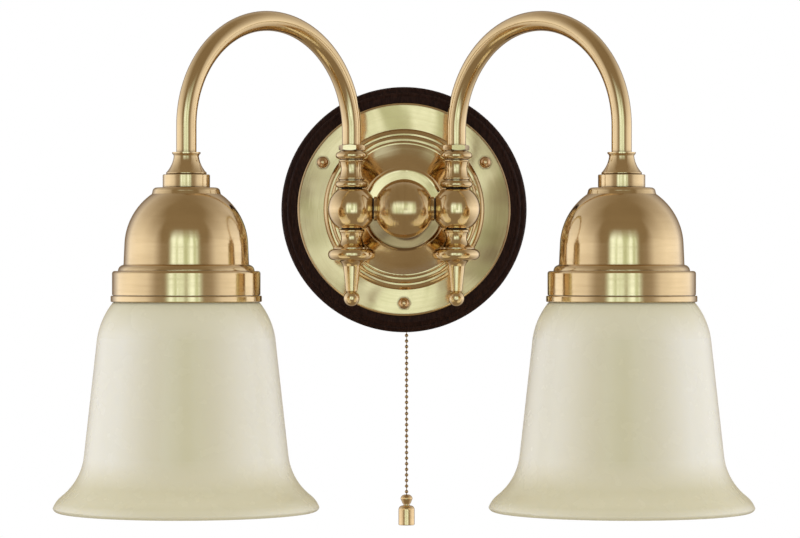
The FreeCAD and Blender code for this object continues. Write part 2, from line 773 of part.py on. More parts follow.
def make_rosette_fixings():
    """Three hanger studs in the wood, and the hexagonal cap nuts on their ends."""
    studs = new_body("hanger_studs")
    section = new_sketch(studs, "XY_Plane", "stud_section", STUD_INNER_END)
    draw_circle(section, "0", f"-{STUD_CIRCLE}", "stud_radius")
    length = f"plate_thickness + flange_thickness + stud_reach_in_nut - {STUD_INNER_END}"
    stud = pad(studs, "stud", section, length)
    around(studs, "studs", [stud], FIXINGS)
    on_wall(studs)

    nuts = new_body("cap_nuts")
    base = new_sketch(nuts, "XY_Plane", "cap_nut_base")
    draw(base, hexagon(CAP_NUT_FLATS, y=f"-{STUD_CIRCLE}"))
    block = pad(nuts, "cap_nut_hexagon", base, "cap_nut_hex_height")
    outline = new_sketch(nuts, "YZ_Plane", "cap_nut_dome_outline")
    centre = f"-{STUD_CIRCLE}"
    dome_side = f"({CAP_NUT_FLATS} / 2 - cap_nut_shoulder - {STUD_CIRCLE})"
    draw(
        outline,
        [
            (centre, "0"),
            (dome_side, "0"),
            (dome_side, "cap_nut_hex_height"),
            (
                centre,
                "(cap_nut_hex_height + cap_nut_dome_height)",
                "swell",
                "cap_nut_dome_bulge",
            ),
        ],
    )
    axis = outline.addGeometry(
        Part.LineSegment(
            Vector(value(centre), 0, 0),
            Vector(value(centre), value("cap_nut_hex_height"), 0),
        ),
        True,
    )
    constrain(
        outline,
        at_place(axis, 1, centre, "0") + at_place(axis, 2, centre, "cap_nut_hex_height"),
    )
    dome = nuts.newObject("PartDesign::Revolution", "cap_nut_dome")
    dome.Profile = outline
    dome.ReferenceAxis = (outline, ["Axis0"])
    dome.Angle = 360
    mouth = new_sketch(nuts, "XY_Plane", "cap_nut_mouth")
    draw_circle(mouth, "0", centre, STUD_BORE)
    depth = "stud_reach_in_nut + cap_nut_bore_room"
    bore = pocket(nuts, "cap_nut_bore", mouth, depth, forwards=True)
    around(nuts, "three_cap_nuts", [block, dome, bore], FIXINGS)
    on_wall(nuts, "(plate_thickness + flange_thickness)")


def make_nipple(label, length):
    """Hollow threaded nipple."""
    return turned(
        label,
        [
            ("nipple_bore_radius", "0"),
            ("nipple_radius", "0"),
            ("nipple_radius", length),
            ("nipple_bore_radius", length),
        ],
    )


def make_hex_nut(label, flats, height, bore, chamfer):
    """Hexagonal nut with its corners turned off at both ends."""
    body = new_body(label)
    base = new_sketch(body, "XY_Plane", f"{label}_base")
    draw(base, hexagon(flats))
    draw_circle(base, "0", "0", bore)
    pad(body, f"{label}_hexagon", base, height)
    corner = f"({flats} / sqrt(3))"
    beyond = f"({flats})"
    edge = f"({flats} / 2)"
    groove(
        body,
        f"{label}_lower_chamfer",
        [(edge, "0"), (beyond, "0"), (beyond, chamfer), (corner, chamfer)],
    )
    groove(
        body,
        f"{label}_upper_chamfer",
        [
            (corner, f"({height} - {chamfer})"),
            (beyond, f"({height} - {chamfer})"),
            (beyond, height),
            (edge, height),
        ],
    )
    return body


def make_hub_fixings():
    """Backing plate, nut and hollow nipple that hold the hub to the rosette, and the earth screw."""
    plate_seat = f"({ROSETTE_TOP} - rosette_wall - hub_plate_thickness)"
    plate = turned(
        "hub_backing_plate",
        [
            (SCREW_BORE, "0"),
            ("hub_plate_radius", "0"),
            ("hub_plate_radius", "hub_plate_thickness"),
            (SCREW_BORE, "hub_plate_thickness"),
        ],
    )
    hole = new_sketch(plate, "XY_Plane", "earth_hole_place")
    draw_circle(
        hole, "0", "earth_screw_place", "earth_screw_radius + screw_clearance"
    )
    pocket(plate, "earth_hole", hole, "hub_plate_thickness", forwards=True)
    on_wall(plate, plate_seat)
    nut = make_hex_nut(
        "hub_nut", HUB_NUT_FLATS, "hub_nut_height", SCREW_BORE, "hub_nut_chamfer"
    )
    nut_seat = f"({plate_seat} - hub_nut_height)"
    on_wall(nut, nut_seat)
    nipple_start = f"({nut_seat} - hub_nipple_stub)"
    nipple_end = f"({HUB_REACH} - hub_cavity_radius)"
    nipple = make_nipple("hub_nipple", f"({nipple_end} - {nipple_start})")
    on_wall(nipple, nipple_start)
    screw = turned(
        "earth_screw",
        [
            ("0", "0"),
            ("earth_screw_head_radius", "0"),
            ("earth_screw_head_radius", "earth_screw_head_height"),
            ("earth_screw_radius", "earth_screw_head_height"),
            ("earth_screw_radius", "(earth_screw_head_height + hub_plate_thickness)"),
            ("0", "(earth_screw_head_height + hub_plate_thickness)"),
        ],
    )
    slot = new_sketch(screw, "XY_Plane", "slot_place")
    half_slot = "earth_screw_slot / 2"
    draw_box(
        slot,
        "-earth_screw_head_radius",
        "earth_screw_head_radius",
        f"-{half_slot}",
        half_slot,
    )
    pocket(screw, "slot", slot, "earth_screw_head_height / 2", forwards=True)
    place(
        screw,
        y=f"-({plate_seat} - earth_screw_head_height)",
        z="earth_screw_place",
        axis=(1, 0, 0),
        angle="90",
    )


def make_hub_ball():
    """Middle ball: a flat neck on each side, a flat back, and a cavity where the leads part."""
    cheek = "sqrt(hub_ball_radius^2 - hub_neck_radius^2)"
    body = turned(
        "hub_ball",
        [
            (SCREW_BORE, f"-{HUB_SIDE_FLAT}"),
            ("hub_neck_radius", f"-{HUB_SIDE_FLAT}"),
            ("hub_neck_radius", f"-{cheek}"),
            ("hub_neck_radius", cheek, "swell radius", "hub_ball_radius"),
            ("hub_neck_radius", HUB_SIDE_FLAT),
            (SCREW_BORE, HUB_SIDE_FLAT),
            (SCREW_BORE, "hub_cavity_half_length"),
            ("hub_cavity_radius", "hub_cavity_half_length"),
            ("hub_cavity_radius", "-hub_cavity_half_length"),
            (SCREW_BORE, "-hub_cavity_half_length"),
        ],
    )
    back = new_sketch(body, "XZ_Plane", "back_place", f"-{HUB_REAR_FLAT}")
    draw_box(
        back,
        "-hub_ball_radius",
        "hub_ball_radius",
        "-hub_ball_radius",
        "hub_ball_radius",
    )
    pocket(body, "flat_back", back, "hub_ball_radius")
    entry = new_sketch(body, "XZ_Plane", "entry_place")
    draw_circle(entry, "0", "0", SCREW_BORE)
    pocket(body, "entry", entry, "hub_ball_radius")
    place(body, y=f"-{HUB_REACH}", axis=(0, 1, 0), angle="90")


def make_side_nipples():
    """Two hollow nipples, from the hub ball into each side ball."""
    body = new_body("side_nipples")
    inner = "(hub_cavity_half_length + seat_gap)"
    outer = f"({KNUCKLE_SIDE} - side_cavity_radius)"
    for side, sign in SIDES.items():
        section = new_sketch(
            body, "YZ_Plane", f"{side}_nipple_section", inner if sign > 0 else f"-{outer}"
        )
        draw_circle(section, "0", "0", "nipple_radius")
        draw_circle(section, "0", "0", "nipple_bore_radius")
        pad(body, f"{side}_nipple", section, f"{outer} - {inner}")
    place(body, y=f"-{HUB_REACH}")


def make_seam_washers():
    """Dark fibre washers: one in the seam at each side, top and bottom of the side balls."""
    body = new_body("seam_washers")
    for side, sign in SIDES.items():
        knuckle = f"({sign} * {KNUCKLE_SIDE})"
        inner_seam = HUB_SIDE_FLAT if sign > 0 else f"-({HUB_SIDE_FLAT} + washer_thickness)"
        seams = (
            ("YZ_Plane", "inner", "0", inner_seam),
            ("XY_Plane", "upper", knuckle, SIDE_FLAT),
            ("XY_Plane", "lower", knuckle, f"-{SEAM}"),
        )
        for plane, name, x, height in seams:
            ring = new_sketch(body, plane, f"{side}_{name}_washer_section", height)
            draw_circle(ring, x, "0", "washer_radius")
            draw_circle(ring, x, "0", SCREW_BORE)
            pad(body, f"{side}_{name}_washer", ring, "washer_thickness")
    place(body, y=f"-{HUB_REACH}")


def make_side_ball(side, sign):
    """Outer ball: flat above, below and towards the hub, bored three ways."""
    body = turned(
        f"side_ball_{side}",
        [
            (SCREW_BORE, f"-{SIDE_FLAT}"),
            ("side_face_radius", f"-{SIDE_FLAT}"),
            ("side_face_radius", SIDE_FLAT, "swell radius", "side_ball_radius"),
            (SCREW_BORE, SIDE_FLAT),
            (SCREW_BORE, "side_cavity_half_height"),
            ("side_cavity_radius", "side_cavity_half_height"),
            ("side_cavity_radius", "-side_cavity_half_height"),
            (SCREW_BORE, "-side_cavity_half_height"),
        ],
    )
    towards_hub = -sign
    face = new_sketch(
        body, "YZ_Plane", "inner_face_place", f"{towards_hub} * {SIDE_INNER_FLAT}"
    )
    draw_box(
        face,
        "-side_ball_radius",
        "side_ball_radius",
        "-side_ball_radius",
        "side_ball_radius",
    )
    pocket(body, "inner_face", face, "side_ball_radius", forwards=towards_hub > 0)
    entry = new_sketch(body, "YZ_Plane", "entry_place")
    draw_circle(entry, "0", "0", SCREW_BORE)
    pocket(body, "entry", entry, "side_ball_radius", forwards=towards_hub > 0)
    place(body, x=f"{sign} * {KNUCKLE_SIDE}", y=f"-{HUB_REACH}")


def make_collar(side, sign):
    """Turned collar that the arm stands in: foot, bead, waist, bead and crown."""
    bead_start = "(collar_foot_height + collar_fillet)"
    bead_end = f"({bead_start} + collar_bead_height)"
    top_bead = f"({COLLAR_WAIST_TOP} + collar_top_bead_height)"
    crown = f"({top_bead} + collar_top_fillet)"
    crown_end = f"({crown} + collar_crown_height)"
    seat = f"({COLLAR_HEIGHT} - tube_seat_depth)"
    body = turned(
        f"collar_{side}",
        [
            (SCREW_BORE, "0"),
            ("collar_foot_radius", "0"),
            ("collar_foot_radius", "collar_foot_height", "swell", "collar_foot_bulge"),
            ("collar_neck_radius", "collar_foot_height"),
            ("collar_neck_radius", bead_start),
            ("collar_neck_radius", bead_end, "swell", "collar_bead_bulge"),
            ("collar_throat_radius", COLLAR_WAIST_TOP, "hollow", "collar_waist_hollow"),
            ("collar_throat_radius", top_bead, "swell", "collar_top_bead_bulge"),
            ("collar_throat_radius", crown),
            ("collar_crown_radius", crown),
            ("collar_crown_radius", crown_end, "swell", "collar_crown_bulge"),
            ("(collar_crown_radius - collar_lip)", COLLAR_HEIGHT),
            (TUBE_BORE, COLLAR_HEIGHT),
            (TUBE_BORE, seat),
            (SCREW_BORE, seat),
        ],
    )
    place(body, x=f"{sign} * {KNUCKLE_SIDE}", y=f"-{HUB_REACH}", z=SEAM)


def make_finial(side, sign):
    """Turned finial, drawn downwards: bead, flare, wide ring, spike and ball tip."""
    throat = "(finial_head_height + finial_throat_height)"
    flare = f"({throat} + finial_flare_height)"
    ring = f"({flare} + finial_land)"
    ring_end = f"({ring} + finial_ring_height)"
    cove = f"({ring_end} + finial_cove_height)"
    spike = f"({cove} + finial_spike_height)"
    tip_neck = f"({spike} + finial_land)"
    tip_centre = f"({tip_neck} + sqrt(finial_tip_radius^2 - finial_tip_neck_radius^2))"
    body = turned(
        f"finial_{side}",
        [
            (SCREW_BORE, "0"),
            ("finial_head_radius", "0"),
            ("finial_head_radius", "finial_head_height", "swell", "finial_head_bulge"),
            ("finial_throat_radius", throat, "hollow", "finial_throat_hollow"),
            ("finial_flare_radius", flare, "hollow", "finial_flare_hollow"),
            ("finial_flare_radius", ring),
            ("finial_ring_radius", ring),
            ("finial_ring_radius", ring_end, "swell", "finial_ring_bulge"),
            ("finial_spike_radius", cove, "hollow", "finial_cove_hollow"),
            ("finial_spike_end_radius", spike),
            ("finial_tip_neck_radius", tip_neck),
            (
                "0",
                f"({tip_centre} + finial_tip_radius)",
                "swell radius",
                "finial_tip_radius",
            ),
            ("0", "finial_bore_depth"),
            (SCREW_BORE, "finial_bore_depth"),
        ],
    )
    place(
        body,
        x=f"{sign} * {KNUCKLE_SIDE}",
        y=f"-{HUB_REACH}",
        z=f"-{SEAM}",
        axis=(1, 0, 0),
        angle="180",
    )


def make_knuckle_screws():
    """Hollow nipples that hold the collars, and solid studs that hold the finials."""
    nipples = new_body("collar_nipples")
    studs = new_body("finial_studs")
    cavity = "side_cavity_half_height"
    stud_start = f"({SEAM} + finial_bore_depth - seat_gap)"
    for side, sign in SIDES.items():
        knuckle = f"({sign} * {KNUCKLE_SIDE})"
        ring = new_sketch(nipples, "XY_Plane", f"{side}_section", cavity)
        draw_circle(ring, knuckle, "0", "nipple_radius")
        draw_circle(ring, knuckle, "0", "nipple_bore_radius")
        pad(nipples, f"{side}_nipple", ring, f"{TUBE_SEAT} - seat_gap - {cavity}")
        disc = new_sketch(studs, "XY_Plane", f"{side}_section", f"-{stud_start}")
        draw_circle(disc, knuckle, "0", "nipple_radius")
        pad(studs, f"{side}_stud", disc, f"{stud_start} - {cavity}")
    for body in (nipples, studs):
        place(body, y=f"-{HUB_REACH}")


def tangent_path(points, bend_radius=None):
    """Straight runs joined by tangent arcs, or arcs alone that meet halfway when no radius is given."""
    edges = []
    start = points[0]
    for before, corner, after in zip(points, points[1:], points[2:]):
        incoming = (before - corner).normalize()
        outgoing = (after - corner).normalize()
        half_turn = (math.pi - incoming.getAngle(outgoing)) / 2
        if bend_radius is None:
            radius = (start - corner).Length / math.tan(half_turn)
        else:
            radius = bend_radius
        reach = radius * math.tan(half_turn)
        first = corner + incoming * reach
        last = corner + outgoing * reach
        bisector = (incoming + outgoing).normalize()
        centre = corner + bisector * (radius / math.cos(half_turn))
        middle = centre - bisector * radius
        if bend_radius is not None:
            edges.append(Part.LineSegment(start, first).toShape())
        edges.append(Part.Arc(first, middle, last).toShape())
        start = last
    if bend_radius is not None:
        edges.append(Part.LineSegment(start, points[-1]).toShape())
    return Part.Wire(edges)


def rod_along(path, radius):
    """Round rod with a path as its middle."""
    first = path.OrderedEdges[0]
    start = first.firstVertex().Point
    along = first.tangentAt(first.FirstParameter)
    section = Part.Wire([Part.Circle(start, along, radius).toShape()])
    rod = path.makePipeShell([section], True, False)
    expected = math.pi * radius**2 * path.Length
    if abs(rod.Volume - expected) > expected / 100:
        raise ValueError("a rod's volume doesn't match its section and length")
    return rod


def make_hub_leads():
    """Leads from the terminal block through the hub, one up to the foot of each arm."""
    wire_out = f"({RECESS_FLOOR} - terminal_height / 2)"
    pitch = value("terminal_pitch")
    half = value(f"{LEAD_SPACING} / 2")
    hub = value(HUB_REACH)
    knuckle = value(KNUCKLE_SIDE)
    block_foot = value(f"{TERMINAL_TOP} - terminal_width")
    out = value(wire_out)
    turn_out = value(f"({wire_out} + {RECESS_FLOOR} + lead_bend_radius)")
    top = value(f"{TUBE_SEAT} - seat_gap")
    bend = value("lead_bend_radius")
    thickness = value("2 * lead_radius")
    tubes = []
    for sign in SIDES.values():
        points = [
            Vector(sign * pitch, -out, block_foot + value("lead_in_terminal")),
            Vector(sign * pitch, -out, block_foot / 3),
            Vector(sign * half, -min(turn_out, hub / 2), 0),
            Vector(sign * half, -hub, 0),
            Vector(sign * knuckle, -hub, 0),
            Vector(sign * knuckle, -hub, top),
        ]
        tubes.append(rod_along(tangent_path(points, bend), value("lead_radius")))
    arch = value("arm_bend_radius")
    print(f"leads {thickness:.1f} mm thick: bends of {bend:.1f} mm in the hub, {arch:.1f} mm in the arms")
    leads = doc.addObject("Part::Feature", "hub_leads")
    leads.Shape = Part.makeCompound(tubes)
    sub_parts.append(leads)


def arm_path(body, name, start, end):
    """Path of the arm: straight up, half a circle over, and down."""
    path = new_sketch(body, "XZ_Plane", name)
    draw(
        path,
        [
            ("0", start),
            ("0", ARM_CENTRE),
            (
                "arm_bend_radius",
                f"({ARM_CENTRE} + arm_bend_radius)",
                "hollow radius",
                "arm_bend_radius",
            ),
            ("2 * arm_bend_radius", ARM_CENTRE, "hollow radius", "arm_bend_radius"),
            ("2 * arm_bend_radius", end),
        ],
        closed=False,
    )
    return path


def on_arm(body, sign):
    """Place a piece drawn in the plane of an arm, with its own Z at the knuckle's axis."""
    angle = "-arm_forward_angle" if sign > 0 else "180 + arm_forward_angle"
    place(body, x=f"{sign} * {KNUCKLE_SIDE}", y=f"-{HUB_REACH}", angle=angle)


def make_arm(side, sign):
    """Bent tube, the lead inside it, and the hexagonal nut that locks it in its collar."""
    tube = new_body(f"arm_tube_{side}")
    path = arm_path(tube, "tube_path", ARM_START, ARM_END)
    section = new_sketch(tube, "XY_Plane", "tube_section", ARM_START)
    draw_circle(section, "0", "0", TUBE_RADIUS)
    draw_circle(section, "0", "0", SCREW_BORE)
    pipe = tube.newObject("PartDesign::AdditivePipe", "tube_bend")
    pipe.Profile = section
    pipe.Spine = path
    on_arm(tube, sign)

    lead = new_body(f"arm_lead_{side}")
    lead_end = f"({DOME_TOP} - {HOLDER_BOSS_TOP} + seat_gap)"
    path = arm_path(lead, "lead_path", TUBE_SEAT, lead_end)
    section = new_sketch(lead, "XY_Plane", "lead_section", TUBE_SEAT)
    draw_circle(section, "0", "0", "lead_radius")
    pipe = lead.newObject("PartDesign::AdditivePipe", "lead_bend")
    pipe.Profile = section
    pipe.Spine = path
    on_arm(lead, sign)

    nut = make_hex_nut(
        f"lock_nut_{side}",
        LOCK_NUT_FLATS,
        "lock_nut_height",
        TUBE_BORE,
        "lock_nut_chamfer",
    )
    place(
        nut,
        x=f"{sign} * {KNUCKLE_SIDE}",
        y=f"-{HUB_REACH}",
        z=f"({SEAM} + {COLLAR_HEIGHT} + seat_gap)",
        angle=f"{sign} * lock_nut_turn_angle",
    )


def on_gallery(body, sign, height):
    """Place a piece on the gallery's axis, drawn upwards from a height."""
    place(body, x=f"{sign} * {GALLERY_SIDE}", y=f"-{GALLERY_REACH}", z=height)


def under_dome_top(body, sign):
    """Place a piece on the gallery's axis, drawn downwards from the dome's top."""
    place(
        body,
        x=f"{sign} * {GALLERY_SIDE}",
        y=f"-{GALLERY_REACH}",
        z=DOME_TOP,
        axis=(1, 0, 0),
        angle="180",
    )


def make_neck(side, sign):
    """Flared neck that covers the tube's end, the plain ring under it, and the nipple through both."""
    flare = "(neck_foot_height + neck_flare_height)"
    rim = f"({flare} + neck_rim_rise)"
    top = f"({rim} + neck_rim_height)"
    neck = turned(
        f"neck_{side}",
        [
            (SCREW_BORE, "0"),
            ("neck_foot_radius", "0"),
            ("neck_foot_radius", "neck_foot_height", "swell", "neck_foot_bulge"),
            ("neck_throat_radius", flare, "hollow", "neck_flare_hollow"),
            ("neck_rim_radius", rim, "hollow", "neck_rim_height / 5"),
            ("neck_rim_radius", top),
            ("neck_dish_radius", top),
            (TUBE_BORE, f"({top} - neck_dish_depth)"),
            (TUBE_BORE, "neck_seat_height"),
            (SCREW_BORE, "neck_seat_height"),
        ],
    )
    on_gallery(neck, sign, NECK_FOOT)
    ring = turned(
        f"neck_ring_{side}",
        [
            (SCREW_BORE, "0"),
            ("(ring_radius - ring_chamfer)", "0"),
            ("ring_radius", "ring_chamfer"),
            ("ring_radius", "(ring_height - ring_chamfer)"),
            ("(ring_radius - ring_chamfer)", "ring_height"),
            (SCREW_BORE, "ring_height"),
        ],
    )
    on_gallery(ring, sign, DOME_TOP)
    start = f"({DOME_TOP} - dome_wall - lamp_nipple_in_cap)"
    nipple = make_nipple(
        f"lamp_nipple_{side}", f"({ARM_END} + lamp_nipple_in_tube - {start})"
    )
    on_gallery(nipple, sign, start)


def make_dome(side, sign):
    """Spun dome: rounded shoulder, full curve, short skirt and a flared bead at the foot."""
    outer = ("(dome_shoulder_radius + dome_start_step)", DOME_START)
    wide = (DOME_WIDE_RADIUS, DOME_WIDE)
    curve = arc_radius(outer, wide, "swell", "dome_bulge")
    bead = f"({DOME_SKIRT_END} + dome_bead_step)"
    bead_end = f"({bead} + dome_bead_height)"
    inner_skirt = f"({DOME_SKIRT_RADIUS} - dome_wall)"
    dome = turned(
        f"dome_{side}",
        [
            (SCREW_BORE, "0"),
            ("dome_top_radius", "0"),
            (
                "dome_shoulder_radius",
                "dome_shoulder_height",
                "swell",
                "dome_shoulder_bulge",
            ),
            outer,
            (*wide, "swell", "dome_bulge"),
            (DOME_SKIRT_RADIUS, DOME_SKIRT_END),
            (f"({DOME_SKIRT_RADIUS} + dome_bead_width)", bead),
            (DOME_BEAD_RADIUS, bead_end, "swell", "dome_bead_bulge"),
            (DOME_BEAD_RADIUS, DOME_FOOT),
            (inner_skirt, DOME_FOOT),
            (inner_skirt, DOME_SKIRT_END),
            (f"({DOME_WIDE_RADIUS} - dome_wall)", DOME_WIDE),
            (
                f"({outer[0]} - dome_wall / 2)",
                f"({DOME_START} + dome_wall)",
                "hollow radius",
                f"({curve} - dome_wall)",
            ),
            ("(dome_shoulder_radius - dome_wall)", "(dome_shoulder_height + dome_wall)"),
            ("dome_top_radius", "dome_wall"),
            (SCREW_BORE, "dome_wall"),
        ],
    )
    under_dome_top(dome, sign)


def make_band(side, sign):
    """Gallery band: flange under the dome, threaded for the glass, with a rounded lip below."""
    groove_end = f"({BAND_END} + band_groove)"
    relief_end = f"({GASKET_TOP} + band_relief_height)"
    mouth = f"({LIP_END} - lip_mouth_height)"
    lip_face = f"({LIP_RADIUS} - lip_edge)"
    band = turned(
        f"gallery_band_{side}",
        [
            (DOME_SKIRT_RADIUS, DOME_FOOT),
            (f"({BAND_RADIUS} - band_edge)", DOME_FOOT),
            (BAND_RADIUS, f"({DOME_FOOT} + band_edge)", "swell", "band_edge / 4"),
            (BAND_RADIUS, BAND_END),
            (f"({BAND_RADIUS} - band_groove)", BAND_END),
            (f"({BAND_RADIUS} - band_groove)", groove_end),
            (lip_face, groove_end),
            (LIP_RADIUS, f"({groove_end} + lip_edge)", "swell", "lip_edge / 5"),
            (LIP_RADIUS, f"({LIP_END} - lip_edge)"),
            (lip_face, LIP_END, "swell", "lip_edge / 5"),
            (f"({lip_face} - lip_land)", LIP_END),
            (f"({lip_face} - lip_land)", mouth),
            (BAND_THREAD, f"({mouth} - band_chamfer_height)"),
            (BAND_THREAD, relief_end),
            (BAND_RELIEF, relief_end),
            (BAND_RELIEF, GASKET_TOP),
            (DOME_SKIRT_RADIUS, GASKET_TOP),
        ],
    )
    under_dome_top(band, sign)
    gasket_outer = f"({BAND_RELIEF} - seat_gap)"
    gasket = turned(
        f"glass_gasket_{side}",
        [
            (f"({gasket_outer} - gasket_width)", GASKET_TOP),
            (gasket_outer, GASKET_TOP),
            (gasket_outer, SHADE_TOP),
            (f"({gasket_outer} - gasket_width)", SHADE_TOP),
        ],
    )
    under_dome_top(gasket, sign)


def wall_inside(corner, start, end, depth):
    """Point a wall's thickness inside a corner of the glass, square to the arc that meets it there."""
    radius = arc_radius(start, end, "swell", depth)
    across = f"({end[0]} - {start[0]})"
    down = f"({end[1]} - {start[1]})"
    lean = f"(({radius} - {depth}) / sqrt({across}^2 + {down}^2))"
    return (
        f"({corner[0]} + shade_wall / {radius} * ({across} / 2 - {down} * {lean}))",
        f"({corner[1]} + shade_wall / {radius} * ({down} / 2 + {across} * {lean}))",
    )


def make_shade(side, sign):
    """Bell of opal glass: threaded neck, round shoulder, tapering body and flared rim."""
    neck_inside = "(shade_neck_radius - shade_wall)"
    step = ("(shade_neck_radius + shade_step)", SHADE_BREAK)
    shoulder = ("shade_shoulder_radius", SHADE_SHOULDER)
    waist = ("shade_waist_radius", SHADE_WAIST)
    flare = ("shade_flare_radius", SHADE_FLARE)
    shoulder_bend = arc_radius(step, shoulder, "swell", "shade_shoulder_bulge")
    flare_bend = arc_radius(waist, flare, "hollow", "shade_flare_hollow")
    inner_step = wall_inside(step, step, shoulder, "shade_shoulder_bulge")
    inner_flare = wall_inside(flare, waist, flare, "shade_flare_hollow")
    shade = turned(
        f"glass_shade_{side}",
        [
            (neck_inside, SHADE_TOP),
            ("shade_neck_radius", SHADE_TOP),
            ("shade_neck_radius", SHADE_NECK_END),
            step,
            (*shoulder, "swell", "shade_shoulder_bulge"),
            waist,
            (*flare, "hollow", "shade_flare_hollow"),
            ("shade_rim_radius", SHADE_RIM, "swell", "shade_rim_bulge"),
            (
                "(shade_rim_radius - shade_lip_width)",
                SHADE_END,
                "swell",
                "shade_lip_bulge",
            ),
            inner_flare,
            (
                "(shade_waist_radius - shade_wall)",
                SHADE_WAIST,
                "swell radius",
                f"({flare_bend} + shade_wall)",
            ),
            ("(shade_shoulder_radius - shade_wall)", SHADE_SHOULDER),
            (*inner_step, "hollow radius", f"({shoulder_bend} - shade_wall)"),
            (neck_inside, f"({SHADE_NECK_END} + shade_wall / 2)"),
        ],
    )
    under_dome_top(shade, sign)


def make_lampholder(side, sign):
    """Lampholder: domed cap on the nipple, and the body whose well takes the bulb."""
    cap_floor = "(dome_wall + holder_cap_floor)"
    cap = turned(
        f"lampholder_cap_{side}",
        [
            (SCREW_BORE, "dome_wall"),
            ("holder_neck_radius", "dome_wall"),
            ("holder_neck_radius", "(dome_wall + holder_neck_height)"),
            ("holder_radius", HOLDER_SHOULDER, "swell", "holder_shoulder_bulge"),
            ("holder_radius", HOLDER_CAP_END),
            ("(holder_radius - holder_cap_wall)", HOLDER_CAP_END),
            ("(holder_radius - holder_cap_wall)", cap_floor),
            (SCREW_BORE, cap_floor),
        ],
    )
    under_dome_top(cap, sign)
    boss = "(holder_radius - holder_cap_wall - holder_join_gap)"
    well = "(bulb_screw_radius + bulb_screw_clearance)"
    sleeve = "(holder_radius - holder_sleeve_step)"
    holder = turned(
        f"lampholder_body_{side}",
        [
            ("0", HOLDER_BOSS_TOP),
            (boss, HOLDER_BOSS_TOP),
            (boss, HOLDER_RING_TOP),
            ("holder_radius", HOLDER_RING_TOP),
            ("holder_radius", HOLDER_RING_END),
            (sleeve, HOLDER_RING_END),
            (sleeve, f"({HOLDER_MOUTH} - holder_mouth_chamfer)"),
            (f"({sleeve} - holder_mouth_chamfer)", HOLDER_MOUTH),
            (well, HOLDER_MOUTH),
            (well, HOLDER_FLOOR),
            ("0", HOLDER_FLOOR),
        ],
    )
    under_dome_top(holder, sign)


def make_bulb(side, sign):
    """Bulb: screw cap with its contact, and the hollow glass envelope."""
    taper_end = f"({BULB_CAP_FLOOR} + bulb_taper_height)"
    contact_end = f"({BULB_TIP} + bulb_contact_height)"
    inside = "(bulb_screw_radius - bulb_cap_wall)"
    cap = turned(
        f"bulb_cap_{side}",
        [
            ("0", BULB_TIP),
            ("bulb_contact_radius", BULB_TIP),
            ("bulb_contact_radius", contact_end),
            ("bulb_insulator_radius", BULB_CAP_FLOOR),
            ("bulb_screw_radius", taper_end),
            ("bulb_screw_radius", BULB_CAP_END),
            (inside, BULB_CAP_END),
            (inside, f"({taper_end} + bulb_cap_wall)"),
            ("0", f"({taper_end} + bulb_cap_wall)"),
        ],
    )
    under_dome_top(cap, sign)
    neck_start = f"({BULB_CAP_END} - bulb_neck_in_cap)"
    neck_inside = f"({BULB_NECK_RADIUS} - bulb_wall)"
    globe_inside = "(bulb_globe_radius - bulb_wall)"
    shoulder_inside = "(bulb_shoulder_radius - bulb_wall)"
    inside_shoulder = f"({BULB_GLOBE} - sqrt({globe_inside}^2 - {shoulder_inside}^2))"
    bulb = turned(
        f"bulb_glass_{side}",
        [
            (neck_inside, neck_start),
            (BULB_NECK_RADIUS, neck_start),
            (BULB_NECK_RADIUS, BULB_NECK_END),
            ("bulb_shoulder_radius", BULB_SHOULDER, "hollow", "bulb_shoulder_hollow"),
            (
                "0",
                f"({BULB_GLOBE} + bulb_globe_radius)",
                "swell radius",
                "bulb_globe_radius",
            ),
            ("0", f"({BULB_GLOBE} + {globe_inside})"),
            (shoulder_inside, inside_shoulder, "hollow radius", globe_inside),
            (neck_inside, BULB_NECK_END, "swell", "bulb_shoulder_hollow"),
        ],
    )
    under_dome_top(bulb, sign)


def make_terminal_block():
    """Three-pole terminal block on the floor of the recess: wire entries below, screws behind."""
    body = new_body("terminal_block")
    foot = f"({TERMINAL_TOP} - terminal_width)"
    floor = f"({RECESS_FLOOR} - terminal_height)"
    base = new_sketch(body, "XY_Plane", "block_base", floor)
    draw_box(base, f"-{HALF_TERMINAL}", HALF_TERMINAL, foot, TERMINAL_TOP)
    pad(body, "block", base, "terminal_height")
    middle = f"({TERMINAL_TOP} - terminal_width / 2)"
    screw = new_sketch(body, "XY_Plane", "screw_well_place", floor)
    draw_circle(screw, "-terminal_pitch", middle, "terminal_screw_radius")
    screw_well = pocket(
        body, "screw_well", screw, "terminal_screw_depth", forwards=True
    )
    in_line(body, "screw_wells", [screw_well], "X_Axis", "terminal_pitch", 3)
    waist = new_sketch(body, "XY_Plane", "waist_place", floor)
    draw_box(
        waist,
        "(-terminal_pitch * 3 / 2 - terminal_waist_width / 2)",
        "(-terminal_pitch * 3 / 2 + terminal_waist_width / 2)",
        f"({TERMINAL_TOP} - terminal_waist)",
        f"({TERMINAL_TOP} + terminal_waist)",
    )
    waist_cut = pocket(body, "waist", waist, "terminal_height", forwards=True)
    in_line(body, "waists", [waist_cut], "X_Axis", "terminal_pitch", 4)
    entry = new_sketch(body, "XZ_Plane", "wire_entry_place", f"-{foot}")
    draw_circle(
        entry,
        "-terminal_pitch",
        f"({floor} + terminal_height / 2)",
        "lead_radius + lead_clearance",
    )
    wire_entry = pocket(body, "wire_entry", entry, "terminal_wire_depth")
    in_line(body, "wire_entries", [wire_entry], "X_Axis", "terminal_pitch", 3)
    on_wall(body)


def at_switch(body):
    """Place a piece drawn upwards on the chain's line from the foot of the switch."""
    place(body, x="chain_side", y="-chain_offset", z=f"-{SWITCH_DROP}")


